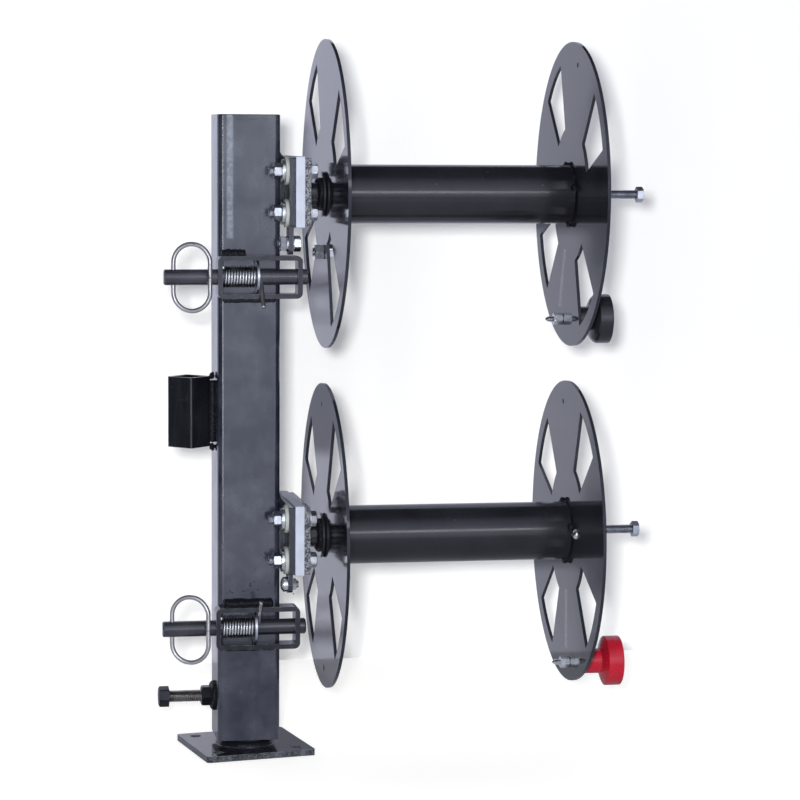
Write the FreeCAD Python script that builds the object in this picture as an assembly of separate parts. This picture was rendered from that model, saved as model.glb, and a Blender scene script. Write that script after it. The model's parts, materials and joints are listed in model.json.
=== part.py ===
import FreeCAD, Part
import math
import os

# Welding cable reel: a post that swivels on a floor plate and carries two cable spools, one above
# the other. Each spool hangs from a spindle behind an insulating plate, and a spring-loaded pin in
# front of the post locks it through a window of its left flange.
# Sizes are in millimetres. X runs along the spool spindles, Y away from the front, Z up. The origin
# is the centre of the base plate's underside, on the swivel axis.

V = FreeCAD.Vector
os.makedirs("parts", exist_ok=True)

# Fits and gaps between pieces. A cutter reaches 1 mm past what it cuts.
running = 0.1
loose = 0.3
face_gap = 0.3

# Base plate, stub pipe and the weld between them
plate_side = 114.3
plate_thick = 6.35
plate_turn = 10.0
plate_corner = 3.0
floor_hole_r = 5.55
floor_hole_inset = 15.875
stub_play = 2.84
stub_wall = 3.7
stub_top = 150.0
base_weld_reach = 7.5
base_weld_height = 6.8
base_weld_toe = 0.35
base_weld_crest = 0.42
base_weld_root = 0.5

# Post
post_side = 63.5
post_wall = 4.76
post_corner = 6.35
post_gap = 1.35
post_top = 649.5
cap_thick = 4.76
cap_chamfer = 0.8
rest_plate_thick = 6.35
rest_plate_corner = 1.5
tube_inner_corner = 0.8

# Square socket tube, welded to the post by one corner
socket_side = 31.75
socket_wall = 3.18
socket_corner = 2.4
socket_gap = 4.19347
socket_low = 313.5
socket_high = 385.0
socket_weld_r = 4.6
socket_weld_side = 3.45

# Set bolt that clamps the post to the stub
set_bolt_z = 56.0
set_bolt_r = 6.2
set_bolt_head_out = 47.25
set_bolt_head_thick = 10.4
set_bolt_flats = 19.05
set_bolt_point = 1.5
set_bolt_turn = 12.0
set_nut_thick = 9.4
set_nut_weld_length = 4.75
set_nut_weld_r = 16.0
set_nut_weld_lap = 1.2

# Spool places
spool_z = {"upper": 569.5, "lower": 219.5}
window_phase = {"upper": {"left": 56.0, "right": 57.0}, "lower": {"left": 41.0, "right": 37.0}}

# Insulated mounting stack between the post and each spindle
stack_rise = 3.0
spacer_thick = 4.76
spacer_half_y = 25.0
spacer_half_z = 28.0
stack_plate_thick = 6.35
stack_plate_half_y = 62.0
stack_plate_half_z = 34.0
insulator_thick = 9.0
insulator_lip_y = 1.2
insulator_lip_z = 1.5
stack_corner = 1.6
stack_weld_lap = 1.8
stack_weld_hollow = 1.3
stack_weld_rise = {"upper": 6.5, "lower": 11.0}

# Four clamp bolts through each stack
clamp_inset_y = 14.4
clamp_inset_z = 13.0
clamp_bolt_r = 4.76
clamp_flats = 14.3
clamp_head_thick = 6.5
clamp_nut_thick = 7.8
clamp_tip = 4.6
clamp_head_turns = {"upper": (12, 18, 30, 52), "lower": (28, 33, 17, 4)}
clamp_nut_turns = {"upper": (18, 33, 52, 17), "lower": (21, 52, 4, 30)}
flat_washer_r = 11.5
flat_washer_thick = 1.5
lock_washer_r = 8.9
lock_washer_thick = 1.9
nylon_washer_r = 14.0
nylon_washer_thick = 3.2
nylon_sleeve_wall = 1.64

# Bolt heads, nuts and screw ends
crown_share = 0.95
crown_slope = 0.5
thread_chamfer = 1.0

# Spindle and what keeps the spool on it
spindle_r = 11.9
spindle_fillet = 3.0
spindle_chamfer = 1.5
spindle_short = 15.4
thrust_collar_r = 23.0
thrust_collar_thick = 3.4
thrust_collar_lip = 0.9
thrust_weld_r = 16.4
thrust_weld_length = 2.2
bushing_length = 24.0
collar_r = 19.0
collar_thick = 9.0
collar_inset = 2.5
collar_screw_r = 2.5

# Spool: drum tube between two flanges
flange_r = 156.5
flange_thick = 3.2
flange_standoff = 21.99
spool_width = 254.0
drum_r = 30.15
drum_wall = 3.9
drum_end_gap = 1.5
tack_r = 4.2
tack_sink = 0.6
tack_angles = (-14.0, 76.0, 166.0, 256.0)
window_inner_r = 71.0
window_rim = 15.5
window_half_angle = 13.8
window_corner = 1.5
window_count = 4
cable_window = {"upper": 1, "lower": 0}
cable_window_reach = 23.85
spare_hole_r = 2.7
spare_hole_inset = 21.5
spare_hole_offset = -45.0

# Knob used to crank the spool, and its bolt
knob_inset = {"upper": 23.0, "lower": 19.5}
knob_offset = 135.0
knob_neck_r = 12.8
knob_neck_length = {"upper": 25.0, "lower": 29.2}
knob_back_bulge = {"upper": 2.2, "lower": 0.4}
knob_rim_r = 25.7
knob_rim_start = {"upper": 32.5, "lower": 33.8}
knob_band = {"upper": 13.6, "lower": 16.0}
knob_crown = 1.4
knob_edge = 1.2
knob_bolt_r = 3.17
knob_bolt_flats = 11.1
knob_bolt_tip = 18.0
knob_bolt_point_r = 1.0
knob_bolt_point_length = 3.5
knob_head_thick = 4.5
knob_head_depth = 30.0
knob_pocket_gap = 0.6
knob_washer_r = 11.2
knob_washer_thick = 1.6
knob_lock_washer_r = 6.4
knob_lock_washer_thick = 1.9
knob_nut_thick = 6.2

# Bolt on the spool axis that takes a drill socket for winding
winding_bolt_r = 4.76
winding_flats = 14.3
winding_reach = 74.4
winding_head_thick = 7.0
winding_nut_thick = 8.0
winding_tip = 2.0

# Cable lug fastenings on the spools
lug_bolt_reach = 28.55
lug_bolt_angle = 180.0
lug_bolt_r = 4.76
lug_flats = 14.3
lug_head_thick = 5.6
lug_head_turn = 37.0
lug_nut_thick = 6.5
lug_spacer_thick = 3.6
lug_tip = 1.8
lug_washer_r = 8.6
button_reach = 14.35
button_angle = 87.5
button_head_r = 5.3
button_head_thick = 4.6
button_shank_r = 3.17
button_tip = 7.5
button_flats = 11.1
button_nut_thick = 5.6

# Terminal tab, bolt and washers under each mounting plate
tab_thick = 4.8
tab_half_y = 9.0
tab_inset = 14.0
tab_drop = {"upper": 17.5, "lower": 11.4}
tab_end_r = {"upper": 11.0, "lower": 8.6}
terminal_bolt_r = 4.0
terminal_flats = 14.3
terminal_head_thick = 6.5
terminal_washer_r = 7.5
terminal_washer_thick = 1.6
terminal_nut_thick = 6.4
terminal_tip = 2.0
terminal_turn = 22.0
terminal_pan_r = 6.2
terminal_pan_thick = 2.4
terminal_pan_edge = 1.5
terminal_star_r = 6.4
terminal_star_thick = 1.2
terminal_pan_tip = 6.5
terminal_small_flats = 11.1
terminal_small_nut_thick = 4.4

# Spring lock: bracket, pin, cross rod, washer, spring and ring
lock_below = {"upper": 29.45, "lower": 33.65}
lock_shift = {"upper": 0.0, "lower": -2.0}
lock_gap_side = {"upper": -1, "lower": 1}
bracket_left_over = 2.35
bracket_right_over = 19.35
bracket_keeper_gap = 0.29
bracket_bar = 4.76
bracket_lip = 2.51
bracket_corner = 6.0
bracket_slot = 5.2
pin_r = 7.94
pin_length = 145.1
pin_short = 22.4
pin_chamfer = 1.2
cross_rod_r = 2.1
cross_rod_x = 9.8
cross_rod_reach = 38.0
cross_rod_back = 9.8
cross_rod_lean = 39.0
cross_rod_chamfer = 0.5
keeper_rim = 8.46
keeper_thick = 2.4
spring_wire_r = 1.1
spring_fit = 0.41
spring_clear = 1.2
spring_turns = 11
ring_inset = 9.7
ring_turn = 21.0
ring_width = 37.8
ring_height = 66.6
ring_wire_r = 2.3
weld_bead_r = 6.6
weld_bead_span = {"upper": (-31.0, -1.0), "lower": (-30.0, 27.0)}

# Values that follow from the sizes above
post_half = post_side / 2
post_bottom = plate_thick + base_weld_height + post_gap
stub_r = post_half - post_wall - stub_play
cap_bottom = post_top - cap_thick
spacer_right = post_half + spacer_thick
mount_right = spacer_right + stack_plate_thick
insulator_right = mount_right + insulator_thick
carrier_right = insulator_right + stack_plate_thick
insulator_half_y = stack_plate_half_y + insulator_lip_y
insulator_half_z = stack_plate_half_z + insulator_lip_z
clamp_y = stack_plate_half_y - clamp_inset_y
clamp_z = stack_plate_half_z - clamp_inset_z
nylon_sleeve_r = clamp_bolt_r + running + nylon_sleeve_wall
tab_y = tab_inset - stack_plate_half_y
left_flange_x = carrier_right + flange_standoff
left_flange_right = left_flange_x + flange_thick
right_flange_x = left_flange_right + spool_width
right_flange_right = right_flange_x + flange_thick
spindle_end = right_flange_x - spindle_short
winding_head_end = right_flange_right + winding_reach
window_outer_r = flange_r - window_rim
cable_window_r = drum_r + cable_window_reach
spare_hole_place = flange_r - spare_hole_inset
knob_place = {which: flange_r - inset for which, inset in knob_inset.items()}
lug_bolt_place = drum_r + lug_bolt_reach
button_place = drum_r + button_reach
drum_bore_r = drum_r - drum_wall
collar_left = spindle_end - collar_inset - collar_thick
socket_half_diagonal = socket_side / math.sqrt(2) - socket_corner * (math.sqrt(2) - 1)
socket_x = -(post_half + socket_gap + socket_half_diagonal)
set_bolt_head_x = -(post_half + set_bolt_head_out)
set_nut_right = -(post_half + set_nut_weld_length)
set_nut_left = set_nut_right - set_nut_thick
spring_coil_r = pin_r + spring_fit + spring_wire_r
pin_y = -(post_half + spring_clear + spring_wire_r + spring_coil_r)
pin_right = left_flange_x - pin_short
pin_left = pin_right - pin_length
ring_x = pin_left + ring_inset
bracket_left = -(post_half + bracket_left_over)
bracket_right = post_half + bracket_right_over
bracket_depth = bracket_lip + pin_r - pin_y - post_half
keeper_r = pin_r + keeper_rim
bracket_height = 2 * (keeper_r + bracket_keeper_gap + bracket_bar)
lock_z = {which: spool_z[which] + stack_rise - stack_plate_half_z - below - bracket_height / 2
          for which, below in lock_below.items()}
keeper_right = cross_rod_x - cross_rod_r - loose
keeper_left = keeper_right - keeper_thick

nodes = {}


def keep(name, *solids):
    """Store a named piece, or a group of like pieces, for export."""
    nodes[name] = list(solids)


def block(x0, x1, y0, y1, z0, z1):
    return Part.makeBox(x1 - x0, y1 - y0, z1 - z0, V(x0, y0, z0))


def rod_x(radius, x0, x1, y=0.0, z=0.0):
    return Part.makeCylinder(radius, x1 - x0, V(x0, y, z), V(1, 0, 0))


def rod_z(radius, z0, z1, x=0.0, y=0.0):
    return Part.makeCylinder(radius, z1 - z0, V(x, y, z0), V(0, 0, 1))


def washer_x(outer, inner, x0, x1, y=0.0, z=0.0):
    return rod_x(outer, x0, x1, y, z).cut(rod_x(inner, x0 - 1, x1 + 1, y, z))


def turned_x(profile, y=0.0, z=0.0):
    """Solid of revolution about an axis along X; the profile is a list of (x, radius)."""
    points = [V(x, y, z + r) for x, r in profile]
    wire = Part.makePolygon(points + points[:1])
    return Part.Face(wire).revolve(V(0, y, z), V(1, 0, 0), 360)


def hexagon_x(flats, x0, x1, y=0.0, z=0.0, turn=0.0, crown=1):
    """Bolt head or nut along X, with its corners chamfered at the crown end or ends."""
    corner = flats / math.sqrt(3)
    points = []
    for k in range(7):
        a = math.radians(60 * k + turn)
        points.append(V(x0, y + corner * math.cos(a), z + corner * math.sin(a)))
    prism = Part.Face(Part.makePolygon(points)).extrude(V(x1 - x0, 0, 0))
    face_r = crown_share * flats / 2
    slope = (corner - face_r) * crown_slope
    left = [(x0, 0), (x0, face_r), (x0 + slope, corner)] if crown < 1 else [(x0, 0), (x0, corner)]
    right = [(x1 - slope, corner), (x1, face_r), (x1, 0)] if crown > -1 else [(x1, corner), (x1, 0)]
    return prism.common(turned_x(left + right, y, z))


def rounded_square(half, corner):
    """Closed outline of a square with round corners, in the XY plane at Z = 0."""
    inner = half - corner
    edges = []
    for k in range(4):
        a = math.radians(90 * k)
        c, s = math.cos(a), math.sin(a)

        def place(x, y):
            return V(x * c - y * s, x * s + y * c, 0)

        diagonal = inner + corner * math.cos(math.radians(45))
        edges.append(Part.LineSegment(place(half, -inner), place(half, inner)).toShape())
        edges.append(Part.Arc(place(half, inner), place(diagonal, diagonal),
                              place(inner, half)).toShape())
    return Part.Wire(edges)


def square_bar(side, corner, z0, z1):
    face = Part.Face(rounded_square(side / 2, corner))
    return face.extrude(V(0, 0, z1 - z0)).translated(V(0, 0, z0))


def square_tube(side, wall, corner, z0, z1):
    inner_corner = max(corner - wall, tube_inner_corner)
    bore = square_bar(side - 2 * wall, inner_corner, z0 - 1, z1 + 1)
    return square_bar(side, corner, z0, z1).cut(bore)


def turned_about_x(shape, angle, z):
    """Turn a shape about a spool axis, from +Z toward the front."""
    return shape.rotated(V(0, 0, z), V(1, 0, 0), angle)


def capsule(radius, start, end):
    """Round-ended bead between two points."""
    line = end.sub(start)
    bead = Part.makeCylinder(radius, line.Length, start, line)
    return bead.fuse([Part.makeSphere(radius, start), Part.makeSphere(radius, end)])


def base():
    plate = square_bar(plate_side, plate_corner, 0, plate_thick)
    h = plate_side / 2 - floor_hole_inset
    for sx in (-1, 1):
        for sy in (-1, 1):
            plate = plate.cut(rod_z(floor_hole_r, -1, plate_thick + 1, sx * h, sy * h))
    keep("base_plate", plate.rotated(V(0, 0, 0), V(0, 0, 1), plate_turn))

    stub = rod_z(stub_r, plate_thick, stub_top).cut(rod_z(stub_r - stub_wall, 0, stub_top + 1))
    weld = [
        V(stub_r - base_weld_root, 0, plate_thick),
        V(stub_r + base_weld_reach, 0, plate_thick),
        V(stub_r + base_weld_toe * base_weld_reach, 0, plate_thick + base_weld_crest * base_weld_height),
        V(stub_r, 0, plate_thick + base_weld_height),
        V(stub_r - base_weld_root, 0, plate_thick + base_weld_height),
    ]
    ring = Part.Face(Part.makePolygon(weld + weld[:1])).revolve(V(0, 0, 0), V(0, 0, 1), 360)
    keep("base_stub", stub.fuse(ring).removeSplitter())


def post():
    tube = square_tube(post_side, post_wall, post_corner, post_bottom, cap_bottom)
    tube = tube.cut(rod_x(set_bolt_r + loose, -post_half - 1, 0, 0, set_bolt_z))
    keep("post_tube", tube)

    cap = square_bar(post_side, post_corner, cap_bottom, post_top)
    rim = [e for e in cap.Edges if min(v.Z for v in e.Vertexes) > post_top - 0.01]
    keep("post_cap", cap.makeChamfer(cap_chamfer, rim))

    rest_side = post_side - 2 * post_wall - 2 * running
    rest_low = stub_top + face_gap
    rest_high = rest_low + rest_plate_thick
    keep("post_rest_plate", square_bar(rest_side, rest_plate_corner, rest_low, rest_high))


def socket():
    tube = square_tube(socket_side, socket_wall, socket_corner, socket_low, socket_high)
    tube = tube.rotated(V(0, 0, 0), V(0, 0, 1), 45).translated(V(socket_x, 0, 0))
    keep("socket_tube", tube)

    seam_x = (socket_x + socket_half_diagonal - post_half) / 2
    beads = []
    for side in (-1, 1):
        y = side * socket_weld_side
        low = V(seam_x, y, socket_low + socket_weld_r)
        high = V(seam_x, y, socket_high - socket_weld_r)
        beads.append(capsule(socket_weld_r, low, high))
    whole_socket = square_bar(socket_side, socket_corner, socket_low, socket_high)
    whole_socket = whole_socket.rotated(V(0, 0, 0), V(0, 0, 1), 45).translated(V(socket_x, 0, 0))
    whole_post = block(-post_half, post_half, -post_half, post_half, post_bottom, post_top)
    keep("socket_weld", beads[0].fuse(beads[1]).cut(whole_socket.fuse(whole_post)))


def set_bolt():
    head_left = set_bolt_head_x - set_bolt_head_thick
    tip = -stub_r - face_gap
    head = hexagon_x(set_bolt_flats, head_left, set_bolt_head_x, 0, set_bolt_z, set_bolt_turn, -1)
    shank = turned_x([(set_bolt_head_x - 1, 0), (set_bolt_head_x - 1, set_bolt_r),
                      (tip - set_bolt_point, set_bolt_r), (tip, set_bolt_r - set_bolt_point),
                      (tip, 0)], 0, set_bolt_z)
    keep("set_bolt", head.fuse(shank).removeSplitter())

    nut = hexagon_x(set_bolt_flats, set_nut_left, set_nut_right, 0, set_bolt_z, 0, -1)
    cone = turned_x([(set_nut_right, 0), (set_nut_right, set_bolt_flats / 2 + set_nut_weld_lap),
                     (-post_half, set_nut_weld_r), (-post_half, 0)], 0, set_bolt_z)
    bore = rod_x(set_bolt_r + running, set_nut_left - 1, -post_half + 1, 0, set_bolt_z)
    keep("set_bolt_nut", nut.fuse(cone).cut(bore).removeSplitter())


def clamp_points(which):
    """Bolt axes of one stack as (y, z)."""
    centre = spool_z[which] + stack_rise
    return [(sy * clamp_y, centre + sz * clamp_z) for sy in (-1, 1) for sz in (-1, 1)]


def stack_plate(which, x0, thick, half_y, half_z, hole_r):
    z = spool_z[which] + stack_rise
    plate = block(x0, x0 + thick, -half_y, half_y, z - half_z, z + half_z)
    edges = [e for e in plate.Edges if abs(e.Vertexes[0].X - e.Vertexes[1].X) > 1]
    plate = plate.makeFillet(stack_corner, edges)
    for y, bolt_z in clamp_points(which):
        plate = plate.cut(rod_x(hole_r, x0 - 1, x0 + thick + 1, y, bolt_z))
    return plate


def stack_weld(which):
    """Hollow fillet weld on top of a spacer bar, between the post and the mounting plate."""
    bar_top = spool_z[which] + stack_rise + spacer_half_z
    plate_top = spool_z[which] + stack_rise + stack_plate_half_z
    left, right = post_half, spacer_right + stack_weld_lap
    rise = stack_weld_rise[which]
    crest = plate_top + rise
    hollow = stack_weld_hollow / math.hypot(right - left, rise)
    middle = V((left + right) / 2 - hollow * rise, -spacer_half_y,
               (plate_top + crest) / 2 - hollow * (right - left))
    corners = [V(right, -spacer_half_y, plate_top), V(spacer_right, -spacer_half_y, plate_top),
               V(spacer_right, -spacer_half_y, bar_top), V(left, -spacer_half_y, bar_top),
               V(left, -spacer_half_y, crest)]
    edges = [Part.LineSegment(a, b).toShape() for a, b in zip(corners, corners[1:])]
    edges.append(Part.Arc(corners[-1], middle, corners[0]).toShape())
    return Part.Face(Part.Wire(edges)).extrude(V(0, 2 * spacer_half_y, 0))


def stacks():
    spacers, mounts, insulators, carriers = [], [], [], []
    hole = clamp_bolt_r + running
    for which in spool_z:
        z = spool_z[which] + stack_rise
        spacers.append(block(post_half, spacer_right, -spacer_half_y, spacer_half_y,
                             z - spacer_half_z, z + spacer_half_z))
        mounts.append(stack_plate(which, spacer_right, stack_plate_thick, stack_plate_half_y,
                                  stack_plate_half_z, nylon_sleeve_r + running))
        insulators.append(stack_plate(which, mount_right, insulator_thick, insulator_half_y,
                                      insulator_half_z, hole))
        carriers.append(stack_plate(which, insulator_right, stack_plate_thick,
                                    stack_plate_half_y, stack_plate_half_z, hole))
    keep("spacer_bars", *spacers)
    keep("stack_welds", *[stack_weld(which) for which in spool_z])
    keep("mount_plates", *mounts)
    keep("insulators", *insulators)
    keep("carrier_plates", *carriers)


def clamp_fasteners():
    bolts, nuts, steel, nylon = [], [], [], []
    head_left = carrier_right + flat_washer_thick
    nylon_left = spacer_right - nylon_washer_thick
    flat_left = nylon_left - flat_washer_thick
    nut_right = flat_left - lock_washer_thick
    nut_left = nut_right - clamp_nut_thick
    hole = clamp_bolt_r + running
    for which in spool_z:
        for k, (y, z) in enumerate(clamp_points(which)):
            head = hexagon_x(clamp_flats, head_left, head_left + clamp_head_thick, y, z,
                             clamp_head_turns[which][k])
            tip = nut_left - clamp_tip
            shank = turned_x([(tip, 0), (tip, clamp_bolt_r - thread_chamfer),
                              (tip + thread_chamfer, clamp_bolt_r),
                              (head_left + 1, clamp_bolt_r), (head_left + 1, 0)], y, z)
            bolts.append(head.fuse(shank).removeSplitter())
            nut = hexagon_x(clamp_flats, nut_left, nut_right, y, z,
                            clamp_nut_turns[which][k], 0)
            nuts.append(nut.cut(rod_x(hole, nut_left - 1, nut_right + 1, y, z)))
            steel.append(washer_x(flat_washer_r, hole, carrier_right, head_left, y, z))
            steel.append(washer_x(flat_washer_r, hole, flat_left, nylon_left, y, z))
            steel.append(washer_x(lock_washer_r, hole, nut_right, flat_left, y, z))
            shoulder = washer_x(nylon_washer_r, hole, nylon_left, spacer_right, y, z)
            sleeve = washer_x(nylon_sleeve_r, hole, nylon_left, mount_right, y, z)
            nylon.append(shoulder.fuse(sleeve).removeSplitter())
    keep("clamp_bolts", *bolts)
    keep("clamp_nuts", *nuts)
    keep("clamp_washers", *steel)
    keep("nylon_washers", *nylon)


def terminal_tab(z, end_r, plate_low):
    """Tab with a round foot, welded under a mounting plate."""
    left, right = spacer_right, spacer_right + tab_thick
    low_y, high_y = tab_y - tab_half_y, tab_y + tab_half_y
    tab = block(left, right, low_y, high_y, z, plate_low)
    foot = rod_x(end_r, left, right, tab_y, z)
    foot = foot.common(block(left, right, low_y, high_y, z - end_r, plate_low))
    hole = rod_x(terminal_bolt_r + running, left - 1, right + 1, tab_y, z)
    return tab.fuse(foot).removeSplitter().cut(hole)


def hex_terminal(z):
    """Bolt, nut and two washers with the hexagon head on the spool side of the tab."""
    left, right = spacer_right, spacer_right + tab_thick
    bore = terminal_bolt_r + running
    head_left = right + terminal_washer_thick
    nut_right = left - terminal_washer_thick
    nut_left = nut_right - terminal_nut_thick
    head = hexagon_x(terminal_flats, head_left, head_left + terminal_head_thick, tab_y, z,
                     terminal_turn)
    shank = rod_x(terminal_bolt_r, nut_left - terminal_tip, head_left + 1, tab_y, z)
    nut = hexagon_x(terminal_flats, nut_left, nut_right, tab_y, z, 0, 0)
    nut = nut.cut(rod_x(bore, nut_left - 1, nut_right + 1, tab_y, z))
    washers = [washer_x(terminal_washer_r, bore, right, head_left, tab_y, z),
               washer_x(terminal_washer_r, bore, nut_right, left, tab_y, z)]
    return head.fuse(shank).removeSplitter(), nut, washers


def pan_terminal(z):
    """Pan-headed screw from the post side, with a star washer, a flat washer and a small nut."""
    left, right = spacer_right, spacer_right + tab_thick
    bore = terminal_bolt_r + running
    star_right = left - 2 * terminal_washer_thick
    star_left = star_right - terminal_star_thick
    head_left = star_left - terminal_pan_thick
    head = turned_x([(head_left, 0), (head_left, terminal_pan_r - terminal_pan_edge),
                     (head_left + 1, terminal_pan_r), (star_left, terminal_pan_r),
                     (star_left, 0)], tab_y, z)
    shank = rod_x(terminal_bolt_r, star_left - 1, right + terminal_pan_tip, tab_y, z)
    nut = hexagon_x(terminal_small_flats, right, right + terminal_small_nut_thick, tab_y, z, 0, 0)
    nut = nut.cut(rod_x(bore, right - 1, right + terminal_small_nut_thick + 1, tab_y, z))
    washers = [washer_x(terminal_star_r, bore, star_left, star_right, tab_y, z),
               washer_x(terminal_washer_r, bore, star_right, left, tab_y, z)]
    return head.fuse(shank).removeSplitter(), nut, washers


def terminals():
    tabs, bolts, nuts, washers = [], [], [], []
    for which, fixing in (("upper", hex_terminal), ("lower", pan_terminal)):
        plate_low = spool_z[which] + stack_rise - stack_plate_half_z
        z = plate_low - tab_drop[which]
        tabs.append(terminal_tab(z, tab_end_r[which], plate_low))
        bolt, nut, pair = fixing(z)
        bolts.append(bolt)
        nuts.append(nut)
        washers.extend(pair)
    keep("terminal_tabs", *tabs)
    keep("terminal_bolts", *bolts)
    keep("terminal_nuts", *nuts)
    keep("terminal_washers", *washers)


def spindles():
    shafts = []
    f = spindle_fillet
    profile = [(carrier_right, 0), (carrier_right, spindle_r + f),
               (carrier_right + 0.3 * f, spindle_r + 0.3 * f), (carrier_right + f, spindle_r),
               (spindle_end - spindle_chamfer, spindle_r),
               (spindle_end, spindle_r - spindle_chamfer), (spindle_end, 0)]
    for z in spool_z.values():
        shafts.append(turned_x(profile, 0, z))
    keep("spindles", *shafts)


def spindle_collars():
    """Thrust collar welded on each spindle at the left, and a set collar inside the drum."""
    thrust, retain = [], []
    right = left_flange_x - face_gap
    left = right - thrust_collar_thick
    bore = spindle_r + running
    lip = thrust_collar_lip
    profile = [(left - thrust_weld_length, bore), (left, thrust_weld_r),
               (left, thrust_collar_r - lip), (left + lip, thrust_collar_r),
               (right - lip, thrust_collar_r), (right, thrust_collar_r - lip), (right, bore)]
    for z in spool_z.values():
        thrust.append(turned_x(profile, 0, z))
        ring = washer_x(collar_r, bore, collar_left, collar_left + collar_thick, 0, z)
        screw = rod_z(collar_screw_r, z, z + collar_r + 1, collar_left + collar_thick / 2)
        retain.append(ring.cut(screw))
    keep("thrust_collars", *thrust)
    keep("retaining_collars", *retain)


def window(z, inner_r):
    """One flange window, centred straight above the spool axis."""
    def point(radius, angle):
        a = math.radians(angle)
        return V(0, -radius * math.sin(a), z + radius * math.cos(a))

    h = window_half_angle
    edges = [
        Part.Arc(point(window_outer_r, -h), point(window_outer_r, 0),
                 point(window_outer_r, h)).toShape(),
        Part.LineSegment(point(window_outer_r, h), point(inner_r, h)).toShape(),
        Part.Arc(point(inner_r, h), point(inner_r, 0), point(inner_r, -h)).toShape(),
        Part.LineSegment(point(inner_r, -h), point(window_outer_r, -h)).toShape(),
    ]
    cutter = Part.Face(Part.Wire(edges)).extrude(V(flange_thick + 2, 0, 0))
    corners = [e for e in cutter.Edges if abs(e.Vertexes[0].X - e.Vertexes[1].X) > 1]
    return cutter.makeFillet(window_corner, corners)


def flange(which, side, x0, bore_r):
    """Flange with four windows; on the left one of them reaches in for the cable's end."""
    z = spool_z[which]
    disc = rod_x(flange_r, x0, x0 + flange_thick, 0, z)
    disc = disc.cut(rod_x(bore_r, x0 - 1, x0 + flange_thick + 1, 0, z))
    phase = window_phase[which][side]
    for k in range(window_count):
        long = side == "left" and k == cable_window[which]
        cutter = window(z, cable_window_r if long else window_inner_r).translated(V(x0 - 1, 0, 0))
        disc = disc.cut(turned_about_x(cutter, phase + 360.0 * k / window_count, z))
    if which == "upper" and side == "left":
        return disc
    spare = rod_x(spare_hole_r, x0 - 1, x0 + flange_thick + 1, 0, z + spare_hole_place)
    knob = rod_x(knob_bolt_r + running, x0 - 1, x0 + flange_thick + 1, 0, z + knob_place[which])
    disc = disc.cut(turned_about_x(spare, phase + spare_hole_offset, z))
    return disc.cut(turned_about_x(knob, phase + knob_offset, z))


def lug_axis(which, place, angle):
    a = math.radians(angle)
    return -place * math.sin(a), spool_z[which] + place * math.cos(a)


def spool(which):
    z = spool_z[which]
    left = flange(which, "left", left_flange_x, spindle_r + loose)
    right = flange(which, "right", right_flange_x, winding_bolt_r + running)
    if which == "upper":
        y, bolt_z = lug_axis(which, lug_bolt_place, lug_bolt_angle)
        left = left.cut(rod_x(lug_bolt_r + running, left_flange_x - 1, left_flange_right + 1,
                              y, bolt_z))
    else:
        y, bolt_z = lug_axis(which, button_place, button_angle)
        right = right.cut(rod_x(button_shank_r + running, right_flange_x - 1,
                                right_flange_right + 1, y, bolt_z))
    keep("left_flange_" + which, left)
    keep("right_flange_" + which, right)

    drum_right = right_flange_x - drum_end_gap
    tube = washer_x(drum_r, drum_bore_r, left_flange_right, drum_right, 0, z)
    limit = block(left_flange_right, right_flange_x, -2 * drum_r, 2 * drum_r,
                  z - 2 * drum_r, z + 2 * drum_r)
    for angle in tack_angles:
        tack = Part.makeSphere(tack_r, V(drum_right, 0, z + drum_r - tack_sink))
        tube = tube.fuse(turned_about_x(tack, angle, z).common(limit))
    inside = rod_x(drum_bore_r, left_flange_right - 1, right_flange_x + 1, 0, z)
    keep("drum_" + which, tube.cut(inside).removeSplitter())

    bushings = []
    outer, bore = drum_bore_r - running / 2, spindle_r + running
    for x0 in (left_flange_right + face_gap, collar_left - face_gap - bushing_length):
        bushings.append(washer_x(outer, bore, x0, x0 + bushing_length, 0, z))
    keep("hub_bushings_" + which, *bushings)


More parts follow.
